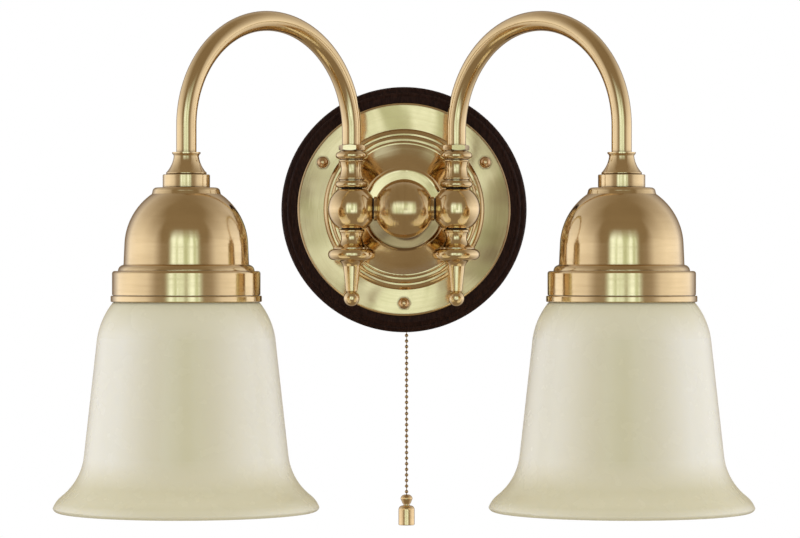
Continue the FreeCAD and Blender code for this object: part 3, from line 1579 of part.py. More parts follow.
def inner_bead_count():
    """Beads of the inner chain, from the plunger's cup down to the one that the outer chain hangs on."""
    shortest_cup = "(plunger_stop_gap + 3 * bead_radius)"
    room = value(f"{PIVOT_DROP} - {SWITCH_DROP} - {shortest_cup}")
    return int(room / value("bead_pitch")) + 1


def coil_path(rise):
    """Middle of the spring's wire: quarter turns that climb by a rise in all."""
    mean = value("spring_mean_radius")
    quarters = round(value("4 * spring_turns"))
    corners = [Vector(mean, 0, 0)]
    for quarter in range(quarters):
        angle = math.radians(90 * quarter + 45)
        reach = mean * math.sqrt(2)
        height = rise * (quarter + 0.5) / quarters
        corners.append(Vector(reach * math.cos(angle), reach * math.sin(angle), height))
    last_angle = math.radians(90 * quarters)
    corners.append(Vector(mean * math.cos(last_angle), mean * math.sin(last_angle), rise))
    return tangent_path(corners)


def least_gap(path, wire):
    """Least gap of a coil to itself, on points along its middle that are over half a turn apart."""
    points = path.discretize(Number=POINTS_PER_QUARTER * len(path.Edges) + 1)
    apart = 2 * POINTS_PER_QUARTER
    nearest = min(
        (first - second).Length
        for start, first in enumerate(points)
        for second in points[start + apart :]
    )
    return nearest - 2 * wire


def make_spring():
    """Coil spring that lifts the plunger, between the switch's floor and the plunger's head."""
    wire = value("spring_wire_radius")
    rise = value(f"{SPRING_TOP} - switch_floor") - 2 * wire
    path = coil_path(rise)
    pulled = coil_path(rise - value("plunger_travel"))
    at_rest, when_pulled = least_gap(path, wire), least_gap(pulled, wire)
    print(f"spring: least gap to itself {at_rest:.2f} mm at rest, {when_pulled:.2f} mm pulled")
    spring = doc.addObject("Part::Feature", "switch_spring")
    spring.Shape = rod_along(path, wire)
    foot = value(f"switch_floor + spring_wire_radius - {SWITCH_DROP}")
    spring.Placement = Placement(
        Vector(value("chain_side"), -value("chain_offset"), foot), Rotation()
    )
    sub_parts.append(spring)


def make_switch():
    """Pull switch: moulded housing, spring, plunger with a cup for the chain, and the brass guide."""
    housing = new_body("switch_housing")
    base = new_sketch(housing, "XY_Plane", "housing_base")
    half = "switch_width / 2"
    front = f"-({RECESS_FLOOR} - chain_offset)"
    back = "(switch_well_radius + switch_back_wall)"
    draw(
        base,
        [
            (f"-{half}", front),
            (half, front),
            (half, f"({back} - switch_corner)"),
            (f"({half} - switch_corner)", back),
            (f"-({half} - switch_corner)", back),
            (f"-{half}", f"({back} - switch_corner)"),
        ],
    )
    pad(housing, "housing_block", base, "switch_height")
    mouth = new_sketch(housing, "XY_Plane", "plunger_hole_place")
    draw_circle(mouth, "0", "0", PLUNGER_BORE)
    pocket(housing, "plunger_hole", mouth, "switch_floor", forwards=True)
    well = new_sketch(housing, "XY_Plane", "spring_well_place", "switch_floor")
    draw_circle(well, "0", "0", "switch_well_radius")
    depth = "switch_height - switch_floor - switch_roof"
    pocket(housing, "spring_well", well, depth, forwards=True)
    at_switch(housing)

    first_bead = f"({PIVOT_DROP} - {inner_bead_count() - 1} * bead_pitch - {SWITCH_DROP})"
    bead_seat = f"({first_bead} + bead_radius)"
    cup_mouth = f"({bead_seat} + plunger_cup_lip)"
    cup_floor = f"({first_bead} - bead_pitch / 2 - screw_clearance)"
    head = "(switch_well_radius - plunger_clearance)"
    plunger = turned(
        "switch_plunger",
        [
            (CHAIN_MOUTH, f"-{cup_mouth}"),
            (CUP_RADIUS, f"-{cup_mouth}"),
            (CUP_RADIUS, "-plunger_stop_gap"),
            ("plunger_radius", "-plunger_stop_gap"),
            ("plunger_radius", SPRING_TOP),
            (head, SPRING_TOP),
            (head, HEAD_TOP),
            ("0", HEAD_TOP),
            ("0", f"-{cup_floor}"),
            (CUP_BORE, f"-{cup_floor}"),
            (CUP_BORE, f"-{bead_seat}"),
            (CHAIN_MOUTH, f"-{bead_seat}"),
        ],
    )
    at_switch(plunger)
    make_spring()

    guide = turned(
        "chain_guide",
        [
            (f"({GUIDE_BORE} + guide_mouth)", "0"),
            (GUIDE_RADIUS, "0"),
            (GUIDE_RADIUS, "guide_length"),
            (GUIDE_BORE, "guide_length"),
            (GUIDE_BORE, "guide_mouth"),
        ],
    )
    place(guide, x="chain_side", y="-chain_offset", z="-plate_radius")


def bead_unit(body, name, top):
    """One hollow bead with half a link above and below it, drawn down from a height."""
    cheek = "sqrt(bead_radius^2 - link_radius^2)"
    middle = f"({top} - bead_pitch / 2)"
    return revolve(
        body,
        name,
        [
            ("0", f"({top} - bead_pitch)"),
            ("link_radius", f"({top} - bead_pitch)"),
            ("link_radius", f"({middle} - {cheek})"),
            ("link_radius", f"({middle} + {cheek})", "swell radius", "bead_radius"),
            ("link_radius", top),
            ("0", top),
        ],
    )


def make_chain():
    """Bead chain in two lengths, hinged at the bead that hangs just below the guide."""
    count = inner_bead_count()
    cheek = "sqrt(bead_radius^2 - link_radius^2)"
    inner = new_body("inner_chain")
    revolve(
        inner,
        "hinge_bead",
        [
            ("0", "-bead_radius"),
            ("link_radius", f"-{cheek}", "swell radius", "bead_radius"),
            ("link_radius", cheek, "swell radius", "bead_radius"),
            ("link_radius", "bead_pitch / 2"),
            ("0", "bead_pitch / 2"),
        ],
    )
    unit = bead_unit(inner, "inner_bead", "(bead_pitch * 3 / 2)")
    in_line(inner, "inner_beads", [unit], "Z_Axis", "bead_pitch", count - 1)
    place(inner, x="chain_side", y="-chain_offset", z=f"-{PIVOT_DROP}")

    outer = new_body("pull_chain")
    stub = new_sketch(outer, "XY_Plane", "stub_section", "-bead_pitch / 2")
    draw_circle(stub, "0", "0", "link_radius")
    pad(outer, "stub", stub, "bead_pitch / 2 - bead_radius - bead_gap")
    unit = bead_unit(outer, "bead", "(-bead_pitch / 2)")
    beads = in_line(
        outer, "beads", [unit], "Z_Axis", "bead_pitch", int(SIZES["chain_beads"]) - 1
    )
    beads.Reversed = True
    place(outer, x="chain_side", y="-chain_offset", z=f"-{PIVOT_DROP}")


def make_knob():
    """Small bell that grips the chain's last bead, and the turned pull knob screwed to it."""
    swell = "bell_swell_height"
    taper = "(bell_swell_height + bell_taper_height)"
    neck = f"({taper} + bell_neck_height)"
    cavity = "(bead_radius + bell_cavity_clearance)"
    bell = turned(
        "chain_bell",
        [
            (CHAIN_MOUTH, "0"),
            ("bell_top_radius", "0"),
            ("bell_swell_radius", swell, "swell", "bell_swell_bulge"),
            ("bell_taper_radius", taper),
            ("bell_neck_radius", taper),
            ("bell_neck_radius", neck),
            ("bell_stem_radius", neck),
            ("bell_stem_radius", f"({neck} + bell_stem_length)"),
            ("0", f"({neck} + bell_stem_length)"),
            ("0", "(bell_lip + bell_cavity_height)"),
            (cavity, "(bell_lip + bell_cavity_height)"),
            (cavity, "bell_lip"),
            (CHAIN_MOUTH, "bell_lip"),
        ],
    )
    skirt_end = "(knob_shoulder_height + knob_skirt_height)"
    bore = "(bell_stem_radius + screw_clearance)"
    knob = turned(
        "pull_knob",
        [
            (bore, "0"),
            ("knob_top_radius", "0"),
            ("knob_radius", "knob_shoulder_height", "swell", "knob_shoulder_bulge"),
            ("knob_radius", f"({skirt_end} - knob_chamfer)"),
            ("(knob_radius - knob_chamfer)", skirt_end),
            ("0", skirt_end),
            ("0", "knob_bore_depth"),
            (bore, "knob_bore_depth"),
        ],
    )
    for body, drop in ((bell, BELL_DROP), (knob, KNOB_DROP)):
        place(
            body,
            x="chain_side",
            y="-chain_offset",
            z=f"-{drop}",
            axis=(1, 0, 0),
            angle="180",
        )


def check_and_write():
    """Stop on any failed object or idle cut, and write each sub-part as a STEP file of its name."""
    doc.recompute()
    for item in doc.Objects:
        if "Invalid" in item.State or "Error" in item.State:
            raise ValueError(f"{item.Name} failed: {item.State}")
    for cut in cuts:
        if cut.BaseFeature.Shape.Volume - cut.Shape.Volume < 1e-3:
            raise ValueError(f"{cut.Name} of {cut.getParent().Name} cuts nothing")
    os.makedirs("parts", exist_ok=True)
    for part in sub_parts:
        shape = part.Shape
        if shape.isNull() or not shape.isValid() or not shape.Solids:
            raise ValueError(f"{part.Label} has no valid solid")
        shape.exportStep(f"parts/{part.Label}.step")
        print(f"{part.Label}: {len(shape.Solids)} solids, {shape.Volume / 1000:.2f} cm3")


make_plate()
make_rosette()
make_rosette_fixings()
make_hub_fixings()
make_hub_ball()
make_side_nipples()
make_seam_washers()
make_knuckle_screws()
make_hub_leads()
make_terminal_block()
make_switch()
make_chain()
make_knob()
for side_name, side_sign in SIDES.items():
    make_side_ball(side_name, side_sign)
    make_collar(side_name, side_sign)
    make_finial(side_name, side_sign)
    make_arm(side_name, side_sign)
    make_neck(side_name, side_sign)
    make_dome(side_name, side_sign)
    make_band(side_name, side_sign)
    make_shade(side_name, side_sign)
    make_lampholder(side_name, side_sign)
    make_bulb(side_name, side_sign)
check_and_write()
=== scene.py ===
"""Dresses the double arm wall sconce: polished brass, stained wood, opal glass, bead chain and studio."""

from __future__ import annotations

import logging
import math
from dataclasses import dataclass, replace
from enum import Enum

import bmesh
import bpy
from mathutils import Matrix, Vector

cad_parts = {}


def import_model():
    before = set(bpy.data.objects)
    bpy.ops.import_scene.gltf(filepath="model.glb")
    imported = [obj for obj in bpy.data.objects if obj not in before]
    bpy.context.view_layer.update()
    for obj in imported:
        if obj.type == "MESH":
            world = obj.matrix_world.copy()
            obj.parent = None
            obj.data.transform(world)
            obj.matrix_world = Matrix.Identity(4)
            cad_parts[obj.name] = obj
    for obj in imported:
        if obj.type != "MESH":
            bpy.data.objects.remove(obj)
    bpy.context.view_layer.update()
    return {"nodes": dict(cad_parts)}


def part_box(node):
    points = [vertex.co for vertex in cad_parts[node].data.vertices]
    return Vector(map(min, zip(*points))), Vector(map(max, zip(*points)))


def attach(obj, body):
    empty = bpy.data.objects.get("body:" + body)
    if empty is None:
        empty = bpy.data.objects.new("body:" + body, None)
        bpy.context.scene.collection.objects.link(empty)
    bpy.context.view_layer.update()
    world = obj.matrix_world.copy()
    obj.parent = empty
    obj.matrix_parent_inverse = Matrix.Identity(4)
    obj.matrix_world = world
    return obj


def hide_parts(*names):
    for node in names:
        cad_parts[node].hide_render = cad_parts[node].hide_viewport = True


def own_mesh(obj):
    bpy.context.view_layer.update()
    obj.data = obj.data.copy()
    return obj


Tree = bpy.types.NodeTree
Socket = bpy.types.NodeSocket
Outputs = bpy.types.NodeOutputs
Material = bpy.types.Material
Object = bpy.types.Object
Mesh = bmesh.types.BMesh
Feed = float | tuple | Vector | Socket
Inputs = dict[str | int, Feed]
Place = tuple[float, float, float]
Colour = Place
Range = tuple[float, float]

LOG = logging.getLogger("sconce")
SIDES = ("left", "right")
MM = 0.001
ORIGIN = (0.0, 0.0, 0.0)
BLACK = (0.0, 0.0, 0.0)
WHITE = (1.0, 1.0, 1.0)


class Turning(Enum):
    """Direction of a lathe piece's own axis, as the rotation that lays Z along it."""

    UPRIGHT = (0.0, 0.0, 0.0)
    OUT_FROM_WALL = (math.pi / 2, 0.0, 0.0)
    ALONG_WALL = (0.0, math.pi / 2, 0.0)


class Polish(Enum):
    """Way that polishing lines run: around the piece's axis, down it, or along a tube."""

    AROUND = "around"
    DOWN = "down"
    TUBE = "tube"


class NodeBoard:
    """One node tree, with short calls that add nodes and join them."""

    def __init__(self, tree: Tree) -> None:
        """Take the node tree of a material, a world or a group."""
        self.nodes = tree.nodes
        self.links = tree.links

    def feed(self, socket: Socket, value: Feed) -> None:
        """Join an input to another socket, or set its own constant.

        Args:
            socket: The input.
            value: The other socket, or the constant, where a colour has red, green and blue.
        """
        if isinstance(value, Socket):
            self.links.new(value, socket)
        elif isinstance(socket, bpy.types.NodeSocketColor):
            socket.default_value = (*value, 1.0)
        else:
            socket.default_value = value

    def feed_all(self, sockets: bpy.types.NodeInputs, values: Inputs) -> None:
        """Feed several inputs, each by its name or number."""
        for key, value in values.items():
            self.feed(sockets[key], value)

    def add(self, kind: str, inputs: Inputs | None = None, **settings: object) -> bpy.types.Node:
        """Add a shader node.

        Args:
            kind: The node's type, without its ShaderNode prefix.
            inputs: Values or sockets, by the input's name or number.
            **settings: The node's own properties.

        Returns:
            The new node.
        """
        node = self.nodes.new(f"ShaderNode{kind}")
        for name, setting in settings.items():
            setattr(node, name, setting)
        self.feed_all(node.inputs, inputs or {})
        return node

    def place(self, group: Tree, **inputs: Feed) -> Outputs:
        """Outputs of a node group, whose inputs are given by their names in small letters."""
        values = {name.capitalize(): value for name, value in inputs.items()}
        return self.add("Group", values, node_tree=group).outputs

    def calc(self, operation: str, *values: Feed) -> Socket:
        """Result of one operation on numbers."""
        return self.add("Math", dict(enumerate(values)), operation=operation).outputs[0]

    def times(self, first: Feed, second: Feed, plus: Feed = 0.0) -> Socket:
        """Product of two values, with a third one added."""
        return self.calc("MULTIPLY_ADD", first, second, plus)

    def length(self, across: Feed, along: Feed) -> Socket:
        """Length of a line that runs so far across and so far along."""
        return self.calc("SQRT", self.times(across, across, self.times(along, along)))

    def noise(self, vector: Feed, scale: Feed = 1.0, detail: float = 2.0) -> Socket:
        """Cloudy noise from 0 to 1."""
        return self.add("TexNoise", {"Vector": vector, "Scale": scale, "Detail": detail}).outputs[0]

    def spread(self, value: Feed, low: float, high: float) -> Socket:
        """Stretch the part of a value between low and high to 0 to 1, and cut it off beyond."""
        ends = {"Value": value, "From Min": low, "From Max": high}
        return self.add("MapRange", ends).outputs[0]

    def blend(self, share: Feed, first: Feed, second: Feed) -> Socket:
        """Colour between two, by a share that is cut off below 0 and above 1."""
        colours = {0: share, 6: first, 7: second}
        return self.add("Mix", colours, data_type="RGBA").outputs[2]

    def vector(self, x: Feed, y: Feed, z: Feed = 0.0) -> Socket:
        """Vector of three values."""
        return self.add("CombineXYZ", {0: x, 1: y, 2: z}).outputs[0]

    def split(self, vector: Feed) -> Outputs:
        """The three values of a vector."""
        return self.add("SeparateXYZ", {0: vector}).outputs

    def bump(self, height: Feed, depth: float, normal: Socket | None = None) -> Socket:
        """Normal of a raised surface.

        Args:
            height: The height, of which 1 stands for the depth.
            depth: The depth in metres.
            normal: The normal underneath, where it isn't the mesh's own.

        Returns:
            The raised surface's normal.
        """
        relief = {"Height": height, "Strength": 1.0, "Distance": depth}
        if normal is not None:
            relief["Normal"] = normal
        return self.add("Bump", relief).outputs[0]


class GroupBoard(NodeBoard):
    """A shader node group with named inputs and outputs, built once."""

    def __init__(self, name: str, inputs: dict[str, float | Place]) -> None:
        """Make the group's tree and its inputs.

        Args:
            name: The group's name.
            inputs: Each input's name and its value at first: a number or a vector.
        """
        self.tree = bpy.data.node_groups.new(name, "ShaderNodeTree")
        super().__init__(self.tree)
        for label, value in inputs.items():
            kind = "NodeSocketFloat" if isinstance(value, float) else "NodeSocketVector"
            socket = self.tree.interface.new_socket(label, in_out="INPUT", socket_type=kind)
            socket.default_value = value
        self.given = self.nodes.new("NodeGroupInput").outputs

    def finish(self, results: dict[str, Socket]) -> Tree:
        """Put out the group's results.

        Args:
            results: The values, by the names of their outputs.

        Returns:
            The group's tree.
        """
        for label in results:
            self.tree.interface.new_socket(label, in_out="OUTPUT", socket_type="NodeSocketFloat")
        self.feed_all(self.nodes.new("NodeGroupOutput").inputs, results)
        return self.tree


class MaterialBoard(NodeBoard):
    """A new material with nothing but a Principled shader."""

    def __init__(self, name: str) -> None:
        """Make the material and take its tree.

        Args:
            name: The material's name.
        """
        self.material = bpy.data.materials.new(name)
        self.material.use_nodes = True
        super().__init__(self.material.node_tree)
        self.shader = self.nodes["Principled BSDF"]

    def finish(self, inputs: dict[str, Feed]) -> Material:
        """Feed the shader's inputs by their names, and hand over the material."""
        self.feed_all(self.shader.inputs, inputs)
        return self.material


@dataclass(frozen=True)
class Clouds:
    """Cloudy patches: noise of one scale, of which the part between low and high is stretched."""

    scale: float
    low: float
    high: float
    detail: float = 2.0

    def mask(self, board: NodeBoard, vector: Feed) -> Socket:
        """The patches, from 0 to 1."""
        return board.spread(board.noise(vector, self.scale, self.detail), self.low, self.high)


WEAR = Clouds(300.0, 0.3, 0.7)
TARNISH = Clouds(28.0, 0.42, 0.72, detail=4.0)
SMEARS = Clouds(70.0, 0.35, 0.75, detail=3.0)
SPECKS = Clouds(900.0, 0.7, 0.8)
CLOUDING = Clouds(22.0, 0.35, 0.7, detail=3.0)
GROWTH_RINGS = Clouds(260.0, 0.35, 0.68, detail=3.0)
PORES = Clouds(1.0, 0.6, 0.74, detail=1.0)


def lathe_place_group() -> Tree:
    """Group that gives a point's radius, height and turn about its piece's Z axis.

    Returns:
        The group's tree.
    """
    board = GroupBoard("lathe place", {"Vector": ORIGIN})
    x, y, z = board.split(board.given["Vector"])[:3]
    return board.finish({"Radius": board.length(x, y), "Height": z, "Turn": board.calc("ARCTAN2", y, x)})


def tube_place_group() -> Tree:
    """Group that gives a point's way round and along a tube bent over in half a circle.

    The tube rises along Z and bends towards X about the point at Reach and Rise.

    Returns:
        The group's tree.
    """
    board = GroupBoard("tube place", {"Vector": ORIGIN, "Reach": 0.07, "Rise": 0.05})
    x, y, z = board.split(board.given["Vector"])[:3]
    reach = board.given["Reach"]
    across = board.calc("SUBTRACT", x, reach)
    above = board.calc("MAXIMUM", board.calc("SUBTRACT", z, board.given["Rise"]), 0.0)
    off_middle = board.calc("SUBTRACT", board.length(across, above), reach)
    along = board.times(board.calc("ARCTAN2", above, across), reach, z)
    return board.finish({"Turn": board.calc("ARCTAN2", y, off_middle), "Along": along})


def polish_group() -> Tree:
    """Group of the fine lines that polishing leaves: their height and a mask of the stronger ones.

    Returns:
        The group's tree.
    """
    fineness, fineness_along = 1600.0, 25.0
    broad_fineness, broad_layer, broad_height = 0.25, 7.0, 3.0
    streaks = (0.45, 0.75)
    board = GroupBoard("polishing lines", {"Across": 0.0, "Along": 0.0})
    across = board.times(board.given["Across"], fineness)
    along = board.times(board.given["Along"], fineness_along)
    lines = board.noise(board.vector(across, along), detail=3.0)
    broad = board.noise(board.vector(board.times(across, broad_fineness), along, broad_layer))
    return board.finish({
        "Height": board.times(broad, broad_height, lines),
        "Streaks": board.spread(broad, *streaks),
    })


def handling_group() -> Tree:
    """Group of handling and age: worn edges, settled grime and painted shade in creases, cloudy tarnish and
    the smears of hands.

    Returns:
        The group's tree.
    """
    turned_away, shut_in = (0.02, 0.25), (0.8, 0.35)
    edge_samples, dirt_and_shade_samples = 4, 6
    board = GroupBoard("handling", {"Vector": ORIGIN, "Edge": 0.0006, "Crease": 0.003})
    vector = board.given["Vector"]
    rounded = board.add("Bevel", {"Radius": board.given["Edge"]}, samples=edge_samples).outputs[0]
    flat = board.add("NewGeometry").outputs["Normal"]
    straight = board.add("VectorMath", {0: rounded, 1: flat}, operation="DOT_PRODUCT").outputs["Value"]
    edge = board.spread(board.calc("SUBTRACT", 1.0, straight), *turned_away)
    reach = {"Distance": board.given["Crease"]}
    # Painted shade: ambient occlusion darkens creases and the gaps between parts, where shade falls, as well
    # as where grime settles.
    open_share = board.add("AmbientOcclusion", reach, samples=dirt_and_shade_samples).outputs["AO"]
    return board.finish({
        "Worn edge": board.times(edge, WEAR.mask(board, vector)),
        "Grime and shade": board.spread(open_share, *shut_in),
        "Tarnish": TARNISH.mask(board, vector),
        "Smears": SMEARS.mask(board, vector),
        "Specks": SPECKS.mask(board, vector),
    })


def wood_group() -> Tree:
    """Group of a turned board's grain: growth rings cut through, long pores and their height.

    Returns:
        The group's tree.
    """
    sway_stretch, sway_scale, sway_depth = 6.0, 9.0, 0.012
    ring_stretch = 4.0
    pores_along, pores_across = 90.0, 2200.0
    board = GroupBoard("board grain", {"Vector": ORIGIN})
    x, y, z = board.split(board.given["Vector"])[:3]
    sway = board.noise(board.vector(board.times(x, sway_stretch), y, z), sway_scale)
    across = board.times(sway, sway_depth, z)
    rings = GROWTH_RINGS.mask(board, board.vector(board.times(x, ring_stretch), across, y))
    stretched = board.vector(board.times(x, pores_along), board.times(across, pores_across), y)
    pores = PORES.mask(board, stretched)
    return board.finish({"Rings": rings, "Pores": pores, "Height": board.calc("SUBTRACT", 1.0, pores)})


def surface_group() -> Tree:
    """Group of a moulded, glazed or blown surface: slow waves, fine grain and clouding.

    Returns:
        The group's tree.
    """
    board = GroupBoard("cast surface", {"Vector": ORIGIN, "Waves": 60.0, "Grain": 2500.0})
    vector = board.given["Vector"]
    return board.finish({
        "Waves": board.noise(vector, board.given["Waves"], 1.0),
        "Grain": board.noise(vector, board.given["Grain"]),
        "Cloud": CLOUDING.mask(board, vector),
    })


class Effects:
    """The shader node groups that the finishes share."""

    def __init__(self) -> None:
        """Build each group once."""
        self.lathe_place = lathe_place_group()
        self.tube_place = tube_place_group()
        self.polish = polish_group()
        self.handling = handling_group()
        self.wood = wood_group()
        self.surface = surface_group()


@dataclass(frozen=True)
class Seat:
    """Where a piece's own axis stands, so that its finish follows the lathe or the bent tube.

    A tube swings from its seat in the direction of swing, and bends over from the height of rise.
    """

    point: Place | Vector = ORIGIN
    turning: Turning = Turning.UPRIGHT
    swing: float = 0.0
    bend: float = 0.0
    rise: float = 0.0

    def vector(self, board: NodeBoard) -> Socket:
        """Coordinates about this axis.

        Args:
            board: The material's node tree.

        Returns:
            A vector in metres from the seat, with Z along the axis.
        """
        place = board.add("TexCoord").outputs["Object"]
        rotation = (*self.turning.value[:2], self.swing)
        inputs = {"Vector": place, "Location": self.point, "Rotation": rotation}
        return board.add("Mapping", inputs, vector_type="TEXTURE").outputs[0]


@dataclass(frozen=True)
class Brass:
    """Polished brass under a thin lacquer, dark in its creases with settled grime and painted shade."""

    name: str
    colour: Colour
    shade: Colour
    roughness: float = 0.1
    line_depth: float = 8e-6
    tarnish: float = 0.35
    streaks: float = 0.22
    edge: float = 0.0006
    crease: float = 0.003
    worn_share: float = 0.5
    dirt_and_shade_share: float = 0.92
    smear_roughness: float = 0.05
    dirt_roughness: float = 0.2
    streak_roughness: float = 0.05
    lacquer: float = 0.45
    lacquer_roughness: float = 0.06
    # Colour of settled grime and of painted shade, laid where occlusion darkens the creases.
    dirt_and_shade: Colour = (0.1, 0.052, 0.022)
    bare: Colour = (0.93, 0.78, 0.5)

    def painted_reflections(self, board: NodeBoard, vector: Socket, place: Outputs, base: Socket) -> Socket:
        """Colour of the metal under its marks, with any painted reflections; plain brass leaves it as it is.
        """
        return base

    def sheet(self, board: NodeBoard, vector: Socket, place: Outputs) -> Socket | None:
        """Normal of the metal under its polishing lines, or None where it's true."""
        return None

    def material(
        self, effects: Effects, seat: Seat, polish: Polish = Polish.AROUND, radius: float = 0.02
    ) -> Material:
        """Make the finish for one piece.

        Args:
            effects: The shared node groups.
            seat: The piece's own axis.
            polish: The way that its polishing lines run.
            radius: The piece's radius in metres.

        Returns:
            The finished material.
        """
        board = MaterialBoard(f"{self.name} {polish.value}")
        vector = seat.vector(board)
        if polish is Polish.TUBE:
            place = board.place(effects.tube_place, vector=vector, reach=seat.bend, rise=seat.rise)
            across, along = board.times(place["Turn"], radius), place["Along"]
        else:
            place = board.place(effects.lathe_place, vector=vector)
            turn = board.times(place["Turn"], radius)
            profile = board.calc("ADD", place["Radius"], place["Height"])
            across, along = (profile, turn) if polish is Polish.AROUND else (turn, profile)
        lines = board.place(effects.polish, across=across, along=along)
        marks = board.place(effects.handling, vector=vector, edge=self.edge, crease=self.crease)
        dull = board.times(lines["Streaks"], self.streaks, board.times(marks["Tarnish"], self.tarnish))
        base = self.painted_reflections(board, vector, place, board.blend(dull, self.colour, self.shade))
        # Painted shade: creases that occlusion darkens take the grime-and-shade colour.
        settled = board.blend(board.times(marks["Grime and shade"], self.dirt_and_shade_share), base, self.dirt_and_shade)
        rough = board.times(marks["Smears"], self.smear_roughness, self.roughness)
        rough = board.times(marks["Grime and shade"], self.dirt_roughness, rough)
        return board.finish({
            "Base Color": board.blend(board.times(marks["Worn edge"], self.worn_share), settled, self.bare),
            "Roughness": board.times(lines["Streaks"], self.streak_roughness, rough),
            "Normal": board.bump(lines["Height"], self.line_depth, self.sheet(board, vector, place)),
            "Metallic": 1.0,
            "Coat Weight": self.lacquer,
            "Coat Roughness": self.lacquer_roughness,
        })


@dataclass(frozen=True)
class SpunBrass(Brass):
    """Brass sheet spun over a form: a little uneven, with painted dark reflections in broad patches on its
    flange and at its crown's foot.
    """

    # Brown of the painted dark reflections on the flange and the crown.
    painted_dark_reflection: Colour = (0.28, 0.163, 0.066)
    patches: Clouds = Clouds(17.0, 0.38, 0.62, detail=3.0)
    patch_share: float = 0.5
    even_share: float = 0.4
    flange_inside: float = 0.054
    flange_sides: Range = (0.034, 0.062)
    crown_foot: Range = (0.004, -0.012)
    crown_share: float = 0.9
    blur: float = 0.001
    waves: float = 17.0
    unevenness: float = 0.007
    slope_foot: float = 0.044
    slope_top: float = 0.0286
    slope_lift: float = 0.0014

    def painted_reflections(self, board: NodeBoard, vector: Socket, place: Outputs, base: Socket) -> Socket:
        """Paint dark reflections on the flange in broad patches, more of them at its sides, and on the crown
        at its foot.

        Args:
            board: The material's node tree.
            vector: Coordinates about the rosette's axis.
            place: Radius, height and turn about it.
            base: The metal's own colour.

        Returns:
            The colour with its painted dark reflections.
        """
        x, y = board.split(vector)[:2]
        flange = board.spread(place["Radius"], self.flange_inside - self.blur, self.flange_inside)
        sides = board.spread(board.calc("ABSOLUTE", x), *self.flange_sides)
        patches = board.times(self.patches.mask(board, vector), self.patch_share, self.even_share)
        brown = board.times(flange, board.times(sides, patches))
        crown = board.spread(place["Radius"], self.slope_top, self.slope_top - self.blur)
        below = board.times(board.spread(y, *self.crown_foot), self.crown_share)
        # Painted reflection: brown laid where the flange and the crown's foot would mirror dark
        # surroundings.
        return board.blend(board.times(crown, below, brown), base, self.painted_dark_reflection)

    def sheet(self, board: NodeBoard, vector: Socket, place: Outputs) -> Socket:
        """Waviness of the sheet, and a slope that starts as steeply as it ends.

        Args:
            board: The material's node tree.
            vector: Coordinates about the rosette's axis.
            place: Radius, height and turn about it.

        Returns:
            The normal.
        """
        wavy = board.bump(board.noise(vector, self.waves, 1.0), self.unevenness)
        outward = board.spread(place["Radius"], self.slope_top, self.slope_foot)
        rise = board.calc("SUBTRACT", 1.0, board.times(outward, outward))
        return board.bump(rise, self.slope_lift, wavy)


@dataclass(frozen=True)
class BallBrass(Brass):
    """Brass of the hub ball, whose front is a little flatter along the wall than a true ball."""

    ball_radius: float = 0.0199
    flatness: float = 0.5

    def sheet(self, board: NodeBoard, vector: Socket, place: Outputs) -> Socket:
        """The flatter front's normal."""
        share = board.calc("DIVIDE", place["Height"], self.ball_radius)
        return board.bump(board.times(share, share), self.flatness * self.ball_radius / 2)


@dataclass(frozen=True)
class StainedWood:
    """Hardwood stained nearly black, with a satin lacquer over open pores."""

    name: str = "dark stained wood"
    colour: Colour = (0.0125, 0.0048, 0.0032)
    streak: Colour = (0.03, 0.012, 0.0075)
    rubbed: Colour = (0.06, 0.03, 0.018)
    rubbed_share: float = 0.35
    edge: float = 0.0008
    roughness: float = 0.34
    smear_roughness: float = 0.1
    pore_roughness: float = 0.2
    pore_depth: float = 2.5e-5
    gloss: float = 0.05

    def material(self, effects: Effects) -> Material:
        """Make the finish.

        Args:
            effects: The shared node groups.

        Returns:
            The finished material.
        """
        board = MaterialBoard(self.name)
        vector = Seat().vector(board)
        grain = board.place(effects.wood, vector=vector)
        marks = board.place(effects.handling, vector=vector, edge=self.edge)
        base = board.blend(grain["Rings"], self.colour, self.streak)
        rough = board.times(marks["Smears"], self.smear_roughness, self.roughness)
        return board.finish({
            "Base Color": board.blend(board.times(marks["Worn edge"], self.rubbed_share), base, self.rubbed),
            "Roughness": board.times(grain["Pores"], self.pore_roughness, rough),
            "Normal": board.bump(grain["Height"], self.pore_depth),
            "Specular IOR Level": self.gloss,
        })


@dataclass(frozen=True)
class Cast:
    """Moulded, glazed, blown or plated surface of one body colour, a little clouded."""

    name: str
    colour: Colour
    clouded: Colour
    roughness: float
    wave_depth: float = 0.0
    grain_depth: float = 0.0
    waves: float = 60.0
    grain: float = 2500.0
    smear_roughness: float = 0.08
    speck_roughness: float = 0.0
    metallic: float = 0.0
    gloss: float = 0.5
    coat: float = 0.0
    coat_roughness: float = 0.1
    milkiness: float = 0.0
    milk_depth: float = 0.004
    milk_spread: Place = (1.0, 1.0, 1.0)

    def body(self, board: NodeBoard, base: Socket) -> Socket:
        """Colour of the body with any painted glow, which plain castings leave as it is."""
        return base

    def material(self, effects: Effects) -> Material:
        """Make the finish.

        Args:
            effects: The shared node groups.

        Returns:
            The finished material.
        """
        board = MaterialBoard(self.name)
        vector = Seat().vector(board)
        surface = board.place(effects.surface, vector=vector, waves=self.waves, grain=self.grain)
        marks = board.place(effects.handling, vector=vector)
        rough = board.times(marks["Smears"], self.smear_roughness, self.roughness)
        normal = board.bump(surface["Waves"], self.wave_depth)
        return board.finish({
            "Base Color": self.body(board, board.blend(surface["Cloud"], self.colour, self.clouded)),
            "Roughness": board.times(marks["Specks"], self.speck_roughness, rough),
            "Normal": board.bump(surface["Grain"], self.grain_depth, normal),
            "Metallic": self.metallic,
            "Specular IOR Level": self.gloss,
            "Coat Weight": self.coat,
            "Coat Roughness": self.coat_roughness,
            "Subsurface Weight": self.milkiness,
            "Subsurface Radius": self.milk_spread,
            "Subsurface Scale": self.milk_depth,
        })


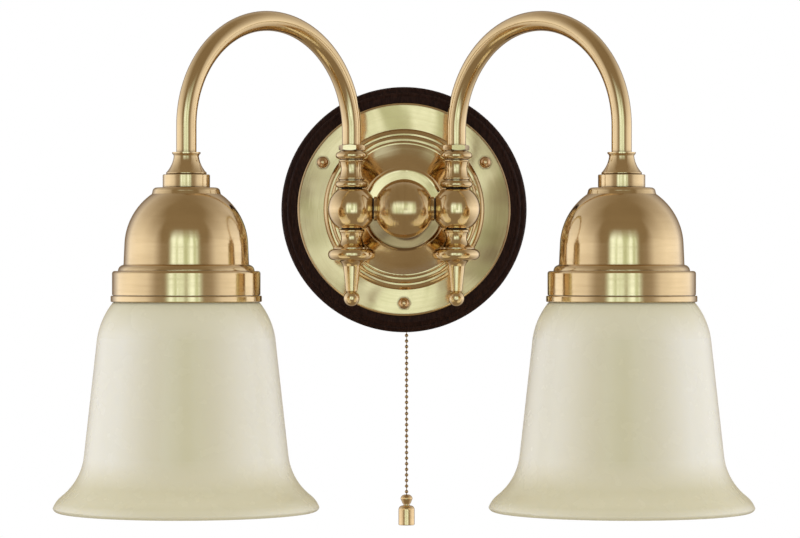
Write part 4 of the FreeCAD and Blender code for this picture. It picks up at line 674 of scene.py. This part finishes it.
@dataclass(frozen=True)
class OpalGlass(Cast):
    """Opal glass blown in a mould, with a painted glow: paler where the wall is seen aslant, as where light
    runs along it to the eye.
    """

    # Colour of the painted glow at the glass's sides.
    pale: Colour = (0.96, 0.92, 0.8)
    glow_range: Range = (0.02, 0.54)
    upright_range: Range = (0.6, 0.15)
    least_glow: float = 0.15

    def body(self, board: NodeBoard, base: Socket) -> Socket:
        """Painted glow: paler colour at the sides, where the wall stands upright and is seen aslant.

        Args:
            board: The material's node tree.
            base: The glass's own colour.

        Returns:
            The colour.
        """
        aslant = board.add("LayerWeight").outputs["Facing"]
        glow = board.spread(board.calc("SQRT", aslant), *self.glow_range)
        rise = board.split(board.add("NewGeometry").outputs["Normal"])[2]
        upright = board.spread(board.calc("ABSOLUTE", rise), *self.upright_range)
        share = board.times(upright, 1.0 - self.least_glow, self.least_glow)
        # Painted glow: the colour turns pale by the viewing angle, lighter where the wall is seen aslant.
        return board.blend(board.times(glow, share), base, self.pale)


BRASS = Brass("polished brass", (0.8, 0.595, 0.315), (0.58, 0.405, 0.19))
SPUN_BRASS = SpunBrass("spun brass", BRASS.colour, BRASS.shade, tarnish=0.55, crease=0.0018)
BALL_BRASS = BallBrass("ball brass", BRASS.colour, BRASS.shade, line_depth=4e-5)
WARM_BRASS = Brass(
    "warm brass", (0.72, 0.47, 0.24), (0.42, 0.25, 0.11),
    roughness=0.16, line_depth=3e-6, tarnish=0.6, edge=0.0003, crease=0.0015,
)
CHAIN_BRASS = replace(WARM_BRASS, name="chain brass", colour=(0.43, 0.28, 0.13), line_depth=1e-6)
KNOB_BRASS = replace(
    WARM_BRASS, name="knob brass", colour=(0.86, 0.62, 0.32), shade=(0.6, 0.4, 0.18), tarnish=0.4
)
OPAL_GLASS = OpalGlass(
    "cream opal glass", (0.7, 0.65, 0.43), (0.72, 0.67, 0.45), 0.24,
    wave_depth=3e-5, grain_depth=1.5e-6, waves=26.0, grain=1800.0, smear_roughness=0.06, speck_roughness=0.1,
    gloss=0.3, coat=0.15, coat_roughness=0.16, milkiness=0.25, milk_spread=(1.0, 0.95, 0.75),
)
FROSTED_GLASS = Cast(
    "frosted bulb glass", (0.9, 0.9, 0.88), (0.86, 0.86, 0.83), 0.45, grain_depth=6e-6, milkiness=0.3
)
PORCELAIN = Cast(
    "glazed porcelain", (0.86, 0.84, 0.78), (0.82, 0.79, 0.71), 0.16, wave_depth=5e-5, coat=0.6
)
STEEL = Cast(
    "zinc plated steel", (0.58, 0.58, 0.55), (0.44, 0.45, 0.46), 0.34,
    grain_depth=6e-6, metallic=1.0, grain=1500.0,
)
BULB_METAL = Cast(
    "bulb cap metal", (0.66, 0.65, 0.62), (0.55, 0.54, 0.52), 0.28, grain_depth=3e-6, metallic=1.0
)
FIBRE = Cast("dark fibre", (0.022, 0.014, 0.01), (0.04, 0.026, 0.018), 0.7, grain_depth=4e-5, grain=1800.0)
RUBBER = Cast("pale rubber", (0.62, 0.6, 0.54), (0.55, 0.53, 0.47), 0.6, grain_depth=1e-5)
LEAD_SLEEVE = Cast("lead insulation", (0.02, 0.02, 0.022), (0.034, 0.033, 0.032), 0.45, grain_depth=8e-6)
TERMINAL_PLASTIC = Cast(
    "terminal plastic", (0.78, 0.76, 0.68), (0.72, 0.7, 0.61), 0.4, grain_depth=8e-6, coat=0.1
)
SWITCH_PLASTIC = Cast(
    "switch moulding", (0.017, 0.013, 0.012), (0.026, 0.02, 0.017), 0.22, wave_depth=4e-5, coat=0.3
)


def centre_of(node: str) -> Vector:
    """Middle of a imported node's box, in metres."""
    low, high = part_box(node)
    return (low + high) / 2


def put(name: str, data: bpy.types.ID) -> Object:
    """Put a new object in the scene.

    Args:
        name: The object's name.
        data: Its mesh, lamp or camera.

    Returns:
        The object.
    """
    item = bpy.data.objects.new(name, data)
    bpy.context.collection.objects.link(item)
    return item


def put_mesh(name: str, mesh: Mesh, material: Material) -> Object:
    """Put a mesh in the scene.

    Args:
        name: The object's name.
        mesh: The finished mesh, which is freed.
        material: The finish.

    Returns:
        The object.
    """
    data = bpy.data.meshes.new(name)
    mesh.to_mesh(data)
    mesh.free()
    data.materials.append(material)
    return put(name, data)


@dataclass
class Dresser:
    """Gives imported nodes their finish, and puts new pieces in the scene."""

    nodes: dict[str, Object]
    effects: Effects

    def dress(self, finish: Brass | StainedWood | Cast, *names: str, **how: Seat | Polish | float) -> None:
        """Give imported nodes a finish.

        Args:
            finish: The finish.
            *names: The nodes' names.
            **how: The seat of a brass piece, with its polish and radius where they differ.
        """
        material = finish.material(self.effects, **how)
        for name in names:
            for held in self.nodes[name].material_slots:
                held.material = material
            LOG.info("dressed %s in %s", name, material.name)

    def piece(self, name: str, mesh: Mesh, material: Material, slot: str, body: str) -> Object:
        """Turn a mesh into a piece of the lamp.

        Args:
            name: The piece's name.
            mesh: The finished mesh, which is freed.
            material: The finish.
            slot: A material slot's name, which is not used.
            body: The body that the piece rides on.

        Returns:
            The piece.
        """
        item = put_mesh(name, mesh, material)
        item.data.shade_smooth()
        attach(item, body)
        LOG.info("made %s with %d faces", name, len(item.data.polygons))
        return item


def on_circle(radius: float, angle: float, height: float = 0.0) -> Vector:
    """Point on a circle about Z, at a height."""
    return Vector((radius * math.cos(angle), radius * math.sin(angle), height))


def join_rings(mesh: Mesh, rings: list[list[bmesh.types.BMVert]]) -> None:
    """Skin a row of rings, of which any may be a single point.

    Args:
        mesh: The mesh that takes the faces.
        rings: Each ring's vertices.
    """
    for lower, upper in zip(rings, rings[1:]):
        sides = max(len(lower), len(upper))
        for step in range(sides):
            after = (step + 1) % sides
            corners = [lower[step % len(lower)], lower[after % len(lower)]]
            corners += [upper[after % len(upper)], upper[step % len(upper)]]
            mesh.faces.new(list(dict.fromkeys(corners)))


def turn_profile(mesh: Mesh, profile: list[Range], middle: Vector, sides: int) -> None:
    """Add a turned skin to a mesh.

    Args:
        mesh: The mesh that takes the faces.
        profile: Radius and height of each point, in metres, with a radius of 0 at a closed end.
        middle: The place of the profile's origin.
        sides: The number of faces round.
    """
    rings = []
    for radius, height in profile:
        angles = (2 * math.pi * step / sides for step in range(sides if radius else 1))
        rings.append([mesh.verts.new(middle + on_circle(radius, angle, height)) for angle in angles])
    join_rings(mesh, rings)


@dataclass
class WallPlate:
    """Stained wooden plate with the terminal block, its screws and the leads."""

    dresser: Dresser
    screw_pitch: float = 9.5 * MM
    screw_count: int = 3
    well_depth: float = 5.0 * MM
    head_radius: float = 2.2 * MM
    head_height: float = 1.7 * MM
    head_edge: float = 0.15 * MM
    slot_width: float = 0.7 * MM
    slot_depth: float = 0.8 * MM
    sides: int = 32

    def screw(self, mesh: Mesh, foot: Vector) -> None:
        """Add one slotted screw head, which faces the wall.

        Args:
            mesh: The mesh that takes the faces.
            foot: The middle of the head's underside.
        """
        start = len(mesh.verts)
        land = self.head_height - self.slot_depth
        disc = [(0.0, 0.0), (self.head_radius, 0.0), (self.head_radius, land), (0.0, land)]
        turn_profile(mesh, disc, Vector(), self.sides)
        inset = math.asin(self.slot_width / 2 / self.head_radius)
        shoulder = (self.head_radius, self.head_height - self.head_edge)
        top = (self.head_radius - self.head_edge, self.head_height)
        steps = self.sides // 2
        for half in (0.0, math.pi):
            angles = [half + inset + (math.pi - 2 * inset) * step / steps for step in range(steps + 1)]
            rings = [
                [mesh.verts.new(on_circle(radius, angle, height)) for angle in angles]
                for radius, height in ((self.head_radius, land), shoulder, top)
            ]
            join_rings(mesh, rings)
            mesh.faces.new(rings[-1])
        mesh.verts.ensure_lookup_table()
        facing_wall = Matrix.Translation(foot) @ Matrix.Rotation(-math.pi / 2, 4, "X")
        bmesh.ops.transform(mesh, matrix=facing_wall, verts=mesh.verts[start:])

    def build(self) -> None:
        """Make the brass screws in the terminal block's wells."""
        _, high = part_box("terminal_block")
        middle = centre_of("terminal_block")
        mesh = bmesh.new()
        for number in range(self.screw_count):
            side = (number - (self.screw_count - 1) / 2) * self.screw_pitch
            self.screw(mesh, Vector((side, high.y - self.well_depth, middle.z)))
        seat = Seat(middle, Turning.OUT_FROM_WALL)
        brass = WARM_BRASS.material(self.dresser.effects, seat, radius=self.head_radius)
        self.dresser.piece("terminal_screws", mesh, brass, "brass", "wall_base")

    def dress(self) -> None:
        """Finish the plate and what it holds behind."""
        self.dresser.dress(StainedWood(), "back_plate")
        self.dresser.dress(TERMINAL_PLASTIC, "terminal_block")
        self.dresser.dress(LEAD_SLEEVE, "hub_leads", "arm_lead_left", "arm_lead_right")


@dataclass
class Rosette:
    """Spun brass rosette, the three cap nuts that hold it and the earth screw behind it."""

    dresser: Dresser
    radius: float = 0.05

    def dress(self) -> None:
        """Finish the rosette, its cap nuts and the earth screw."""
        seat = Seat(turning=Turning.OUT_FROM_WALL)
        self.dresser.dress(SPUN_BRASS, "rosette", seat=seat, radius=self.radius)
        nuts = ("cap_nuts", "earth_screw")
        self.dresser.dress(WARM_BRASS, *nuts, seat=seat, polish=Polish.DOWN, radius=self.radius)


@dataclass
class Hub:
    """Three brass balls, with a turned collar over and a finial under each outer one."""

    dresser: Dresser

    def dress(self) -> None:
        """Finish the balls, collars, finials, washers and the steel inside."""
        dress = self.dresser.dress
        dress(BALL_BRASS, "hub_ball", seat=Seat(centre_of("hub_ball"), Turning.ALONG_WALL))
        for side in SIDES:
            turned = (f"side_ball_{side}", f"collar_{side}", f"finial_{side}")
            dress(BRASS, *turned, seat=Seat(centre_of(f"collar_{side}")))
        dress(FIBRE, "seam_washers")
        dress(
            STEEL, "hub_backing_plate", "hub_nut", "hub_nipple", "side_nipples", "collar_nipples",
            "finial_studs", "hanger_studs", "lamp_nipple_left", "lamp_nipple_right",
        )


@dataclass
class Arm:
    """Bent brass tube with its lock nut, and the gallery, glass and lamp that it carries."""

    dresser: Dresser
    side: str
    tube_radius: float = 6.5 * MM
    dome_radius: float = 40.0 * MM

    def seat(self) -> Seat:
        """Axis of the tube's lower end, with the way that the arch swings from it.

        Returns:
            The seat.
        """
        foot = centre_of(f"collar_{self.side}").xy
        arch = (centre_of(f"dome_{self.side}").xy - foot) / 2
        _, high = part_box(f"arm_tube_{self.side}")
        rise = high.z - self.tube_radius - arch.length
        return Seat((*foot, 0.0), swing=math.atan2(arch.y, arch.x), bend=arch.length, rise=rise)

    def dress(self) -> None:
        """Finish every piece of the arm."""
        side, dress = self.side, self.dresser.dress
        dress(BRASS, f"arm_tube_{side}", seat=self.seat(), polish=Polish.TUBE, radius=self.tube_radius)
        dress(BRASS, f"lock_nut_{side}", seat=Seat(centre_of(f"collar_{side}")))
        gallery = Seat((*centre_of(f"dome_{side}").xy, 0.0))
        turned = (f"neck_{side}", f"neck_ring_{side}", f"dome_{side}", f"gallery_band_{side}")
        dress(BRASS, *turned, seat=gallery, radius=self.dome_radius)
        dress(RUBBER, f"glass_gasket_{side}")
        dress(OPAL_GLASS, f"glass_shade_{side}")
        dress(PORCELAIN, f"lampholder_cap_{side}", f"lampholder_body_{side}")
        dress(BULB_METAL, f"bulb_cap_{side}")
        dress(FROSTED_GLASS, f"bulb_glass_{side}")


@dataclass
class PullSwitch:
    """Pull switch in the plate, with the bead chain, the bell at its end and the knob."""

    dresser: Dresser
    chain_side: float = 1.75 * MM
    chain_offset: float = 6.5 * MM
    pivot_drop: float = 85.6 * MM
    line_drops: Place = (0.11, 0.14, 0.17)
    bead_radius: float = 1.2 * MM
    bead_pitch: float = 3.8 * MM
    bead_wall: float = 0.2 * MM
    bead_steps: int = 12
    hole_radius: float = 0.62 * MM
    link_radius: float = 0.4 * MM
    link_waist: float = 0.32 * MM
    link_taper: float = 0.3
    link_hold: float = 0.25 * MM
    swing_clearance: float = 0.03 * MM
    knob_radius: float = 4.0 * MM
    sides: int = 20
    spring_turns: int = 5
    spring_radius: float = 2.3 * MM
    wire_radius: float = 0.24 * MM
    end_wires: float = 2.2
    turn_steps: int = 32
    plunger_travel: float = 6.0 * MM

    def on_axis(self, height: float = 0.0) -> Vector:
        """Point on the chain's own line, at a height."""
        return Vector((self.chain_side, -self.chain_offset, height))

    def dress(self) -> None:
        """Finish the switch, the guide, the bell and the knob."""
        self.dresser.dress(SWITCH_PLASTIC, "switch_housing", "switch_plunger")
        turned = ("chain_guide", "chain_bell", "pull_knob")
        self.dresser.dress(KNOB_BRASS, *turned, seat=Seat(self.on_axis()), radius=self.knob_radius)

    def line(self) -> list[Vector]:
        """Points of the hanging chain's own smooth line.

        Returns:
            The points, from the bead under the guide to the last bead in the bell.
        """
        low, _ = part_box("pull_chain")
        beads = int((-low.z - self.pivot_drop) / self.bead_pitch)
        drops = (self.pivot_drop, *self.line_drops, self.pivot_drop + beads * self.bead_pitch)
        curve = bpy.data.curves.new("chain_line", "CURVE")
        curve.dimensions = "3D"
        spline = curve.splines.new("NURBS")
        spline.points.add(len(drops) - 1)
        for point, drop in zip(spline.points, drops):
            point.co = (*self.on_axis(-drop), 1.0)
        spline.order_u = 3
        spline.use_endpoint_u = True
        holder = bpy.data.objects.new("chain_line", curve)
        read = bpy.data.meshes.new_from_object(holder)
        points = [vertex.co.copy() for vertex in read.vertices]
        bpy.data.objects.remove(holder)
        bpy.data.meshes.remove(read)
        return points

    def bead(self, mesh: Mesh, height: float) -> None:
        """Add one hollow bead, with rolled holes above and below.

        Args:
            mesh: The chain's mesh.
            height: The height of the bead's centre.
        """
        start = math.asin(self.hole_radius / self.bead_radius)
        depth = (self.bead_radius - self.bead_wall) * math.cos(start)
        profile = [(0.0, -depth), (self.hole_radius, -depth)]
        for step in range(self.bead_steps + 1):
            angle = start + (math.pi - 2 * start) * step / self.bead_steps
            profile.append((self.bead_radius * math.sin(angle), -self.bead_radius * math.cos(angle)))
        profile += [(self.hole_radius, depth), (0.0, depth)]
        turn_profile(mesh, profile, self.on_axis(height), self.sides)

    def link(self, mesh: Mesh, top: float, length: float) -> None:
        """Add one wire link.

        Args:
            mesh: The chain's mesh.
            top: The height of its upper end.
            length: Its length in metres.
        """
        taper = self.link_taper * length
        profile = [
            (0.0, -length), (self.link_radius, -length), (self.link_waist, taper - length),
            (self.link_waist, -taper), (self.link_radius, 0.0), (0.0, 0.0),
        ]
        turn_profile(mesh, profile, self.on_axis(top), self.sides // 2)

    def hanging_chain(self, brass: Material, points: list[Vector]) -> None:
        """Make the length that hangs out of the guide, which ends in the bell.

        Args:
            brass: The chain's finish.
            points: The chain's own smooth line.
        """
        gap = self.bead_pitch - 2 * self.bead_radius
        start = points[0]
        length = (start - points[-1]).length
        mesh = bmesh.new()
        for number in range(1, round(length / self.bead_pitch) + 1):
            height = start.z - number * self.bead_pitch
            self.bead(mesh, height)
            above = gap - self.swing_clearance if number == 1 else gap + self.link_hold
            self.link(mesh, height + self.bead_radius + above, above + self.link_hold)
        chain = self.dresser.piece("bead_chain", mesh, brass, "chain_brass", "hanging_chain")
        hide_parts("pull_chain")

    def inner_chain(self, brass: Material, start: Vector) -> None:
        """Make the length inside the plate, from the guide up to the plunger.

        Args:
            brass: The chain's finish.
            start: The centre of the bead under the guide.
        """
        gap = self.bead_pitch - 2 * self.bead_radius
        _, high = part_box("inner_chain")
        mesh = bmesh.new()
        for number in range(int((high.z - start.z) / self.bead_pitch) + 1):
            height = start.z + number * self.bead_pitch
            self.bead(mesh, height)
            if number:
                self.link(mesh, height - self.bead_radius + self.link_hold, gap + 2 * self.link_hold)
        chain = self.dresser.piece("inner_bead_chain", mesh, brass, "chain_brass", "pull_link")
        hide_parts("inner_chain")

    def spring(self) -> None:
        """Wind the coil spring under the plunger at the imported spring's length; the real spring shortens
        as the chain is pulled.
        """
        low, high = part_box("switch_spring")
        height = high.z - low.z
        foot = self.on_axis(low.z + self.wire_radius)
        rise = height - self.end_wires * self.wire_radius
        steps, sides = self.turn_steps * self.spring_turns, self.sides // 2
        wire = [on_circle(self.wire_radius, 2 * math.pi * side / sides) for side in range(sides)]
        mesh = bmesh.new()
        rings = []
        for step in range(steps + 1):
            turn = 2 * math.pi * self.spring_turns * step / steps
            up = rise * step / steps
            spots = (on_circle(self.spring_radius + spot.x, turn, up + spot.y) for spot in wire)
            rings.append([mesh.verts.new(foot + spot) for spot in spots])
        join_rings(mesh, rings)
        mesh.faces.new(rings[0])
        mesh.faces.new(rings[-1])
        bmesh.ops.recalc_face_normals(mesh, faces=mesh.faces)
        steel = STEEL.material(self.dresser.effects)
        coil = self.dresser.piece("coil_spring", mesh, steel, "steel", "wall_base")
        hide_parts("switch_spring")
        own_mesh(coil)

    def build(self) -> None:
        """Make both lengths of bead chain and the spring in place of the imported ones."""
        brass = CHAIN_BRASS.material(self.dresser.effects, Seat(self.on_axis()), radius=self.bead_radius)
        points = self.line()
        self.hanging_chain(brass, points)
        self.inner_chain(brass, points[0])
        self.spring()


@dataclass(frozen=True)
class Camera:
    """Camera that stands where the photograph was taken."""

    distance: float = 2.293
    eye_height: float = -0.0403
    lens: float = 151.0
    sideways_shift: float = -0.005

    def set_up(self) -> None:
        """Stand the camera, level and straight in front, and show colours as they are."""
        data = bpy.data.cameras.new("photograph view")
        data.lens = self.lens
        data.shift_x = self.sideways_shift
        holder = put(data.name, data)
        holder.location = (0.0, -self.distance, self.eye_height)
        holder.rotation_euler = (math.pi / 2, 0.0, 0.0)
        bpy.context.scene.camera = holder
        bpy.context.scene.view_settings.view_transform = "Standard"


@dataclass(frozen=True)
class Softbox:
    """The studio's one large soft lamp, over and behind the camera."""

    place: Place = (0.0, -3.1, 0.6)
    aim: Place = (0.0, -0.1, 0.0)
    width: float = 3.4
    height: float = 2.6
    brightness: float = 0.92

    def set_up(self) -> None:
        """Hang the lamp, facing its aim. Mirrors show the room's own window in its place."""
        lamp = bpy.data.lights.new("front softbox", "AREA")
        lamp.shape = "RECTANGLE"
        lamp.size = self.width
        lamp.size_y = self.height
        lamp.energy = self.brightness * math.pi * self.width * self.height
        holder = put(lamp.name, lamp)
        holder.location = self.place
        facing = Vector(self.aim) - Vector(self.place)
        holder.rotation_euler = facing.to_track_quat("-Z", "Y").to_euler()
        holder.visible_glossy = False


@dataclass(frozen=True)
class Room:
    """The room round the lamp: white behind it, and a window in darker walls in front."""

    wall_in_front: Colour = (0.28, 0.225, 0.158)
    wall_beside: Colour = (1.16, 1.17, 1.24)
    behind: Colour = (0.24, 0.18, 0.12)
    window: Colour = (1.26, 1.62, 1.85)
    window_side: Colour = (0.64, 0.82, 0.7)
    soft_front: Colour = (0.42, 0.42, 0.42)
    soft_beside: Colour = (1.25, 1.23, 1.2)
    window_across: Range = (0.52, 0.38)
    window_top: Range = (0.52, 0.2)
    window_foot: Range = (-0.42, -0.22)
    pane_fineness: float = 7.0
    panes: Clouds = Clouds(1.0, 0.42, 0.56)
    camera_turn: float = 0.06
    camera_rise: float = -0.07
    camera_edge: Range = (0.03, 0.11)
    camera_share: float = 0.25
    lower_share: float = 1.2
    corner_range: Range = (0.5, 0.72)
    corner_share: float = 0.42
    front_share: float = 0.56
    behind_range: Range = (0.58, 0.92)
    soft_range: Range = (-0.7, 0.15)

    def window_share(self, board: NodeBoard, turn: Socket, z: Socket) -> Socket:
        """How much of the window in front a mirror sees, from 0 to 1.

        Args:
            board: The world's node tree.
            turn: The direction's turn from straight in front, in radians.
            z: The direction's rise.

        Returns:
            The share, which is less round the camera.
        """
        across = board.spread(board.calc("ABSOLUTE", turn), *self.window_across)
        upright = board.times(board.spread(z, *self.window_top), board.spread(z, *self.window_foot))
        beside = board.calc("SUBTRACT", turn, self.camera_turn)
        above = board.calc("SUBTRACT", z, self.camera_rise)
        past_camera = board.spread(board.length(beside, above), *self.camera_edge)
        clear = board.times(past_camera, 1.0 - self.camera_share, self.camera_share)
        return board.times(board.times(across, upright), clear)

    def walls(self, board: NodeBoard, y: Socket, z: Socket) -> Socket:
        """What mirrors show of the walls: pale beside the lamp, brown in front, above and below.

        Args:
            board: The world's node tree.
            y: The direction's part away from the camera.
            z: The direction's rise.

        Returns:
            The walls' colour.
        """
        off_level = board.calc("MAXIMUM", z, board.times(z, -self.lower_share))
        in_front = board.calc("MAXIMUM", board.times(y, -1.0), 0.0)
        corner = board.times(board.spread(in_front, *self.corner_range), self.corner_share, off_level)
        depth = board.times(in_front, self.front_share, corner)
        walls = board.blend(depth, self.wall_beside, self.wall_in_front)
        return board.blend(board.spread(y, *self.behind_range), walls, self.behind)

    def set_up(self) -> None:
        """Surround the lamp: white for the camera, soft for dull pieces and a room for mirrors."""
        world = bpy.data.worlds.new("studio room")
        bpy.context.scene.world = world
        world.use_nodes = True
        board = NodeBoard(world.node_tree)
        path = board.add("LightPath").outputs
        x, y, z = board.split(board.add("TexCoord").outputs["Generated"])[:3]
        turn = board.calc("ARCTAN2", x, board.times(y, -1.0))
        panes = self.panes.mask(board, board.vector(board.times(turn, self.pane_fineness), z))
        glare = board.blend(panes, self.window_side, self.window)
        mirrored = board.blend(self.window_share(board, turn, z), self.walls(board, y, z), glare)
        soft = board.blend(board.spread(y, *self.soft_range), self.soft_front, self.soft_beside)
        colour = board.blend(path["Is Glossy Ray"], soft, mirrored)
        seen = board.calc("MAXIMUM", path["Is Camera Ray"], path["Is Transmission Ray"])
        board.feed(board.nodes["Background"].inputs["Color"], board.blend(seen, colour, WHITE))


@dataclass(frozen=True)
class Floor:
    """Plain pale floor, well below the lamp, that a camera underneath sees through."""

    height: float = -1.3
    size: float = 4.2
    colour: Colour = (0.6, 0.58, 0.55)
    roughness: float = 0.8
    glow: float = 0.34

    def material(self) -> Material:
        """Make the finish, which is paler to the camera than to the lamp.

        Returns:
            The finished material.
        """
        board = MaterialBoard("pale floor")
        seen = board.add("LightPath").outputs["Is Camera Ray"]
        sides = {
            "Fac": board.add("NewGeometry").outputs["Backfacing"],
            1: board.shader.outputs["BSDF"],
            2: board.add("BsdfTransparent").outputs["BSDF"],
        }
        surface = board.add("MixShader", sides).outputs["Shader"]
        board.feed(board.nodes["Material Output"].inputs["Surface"], surface)
        return board.finish({
            "Base Color": self.colour,
            "Roughness": self.roughness,
            "Emission Color": board.blend(seen, BLACK, WHITE),
            "Emission Strength": self.glow,
        })

    def set_up(self) -> None:
        """Lay the floor, which mirrors don't show."""
        mesh = bmesh.new()
        bmesh.ops.create_grid(mesh, x_segments=1, y_segments=1, size=self.size / 2)
        item = put_mesh("studio_floor", mesh, self.material())
        item.location = (0.0, 0.0, self.height)
        item.visible_glossy = False


def main() -> None:
    """Build the dressed lamp and its studio."""
    logging.basicConfig(level=logging.INFO, format="%(message)s")
    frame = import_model()
    for fitting in (Camera(), Floor(), Room(), Softbox()):
        fitting.set_up()
    dresser = Dresser(frame["nodes"], Effects())
    for assembly in (PullSwitch(dresser), WallPlate(dresser)):
        assembly.build()
        assembly.dress()
    for assembly in (Rosette(dresser), Hub(dresser), *(Arm(dresser, side) for side in SIDES)):
        assembly.dress()


if __name__ == "__main__":
    main()
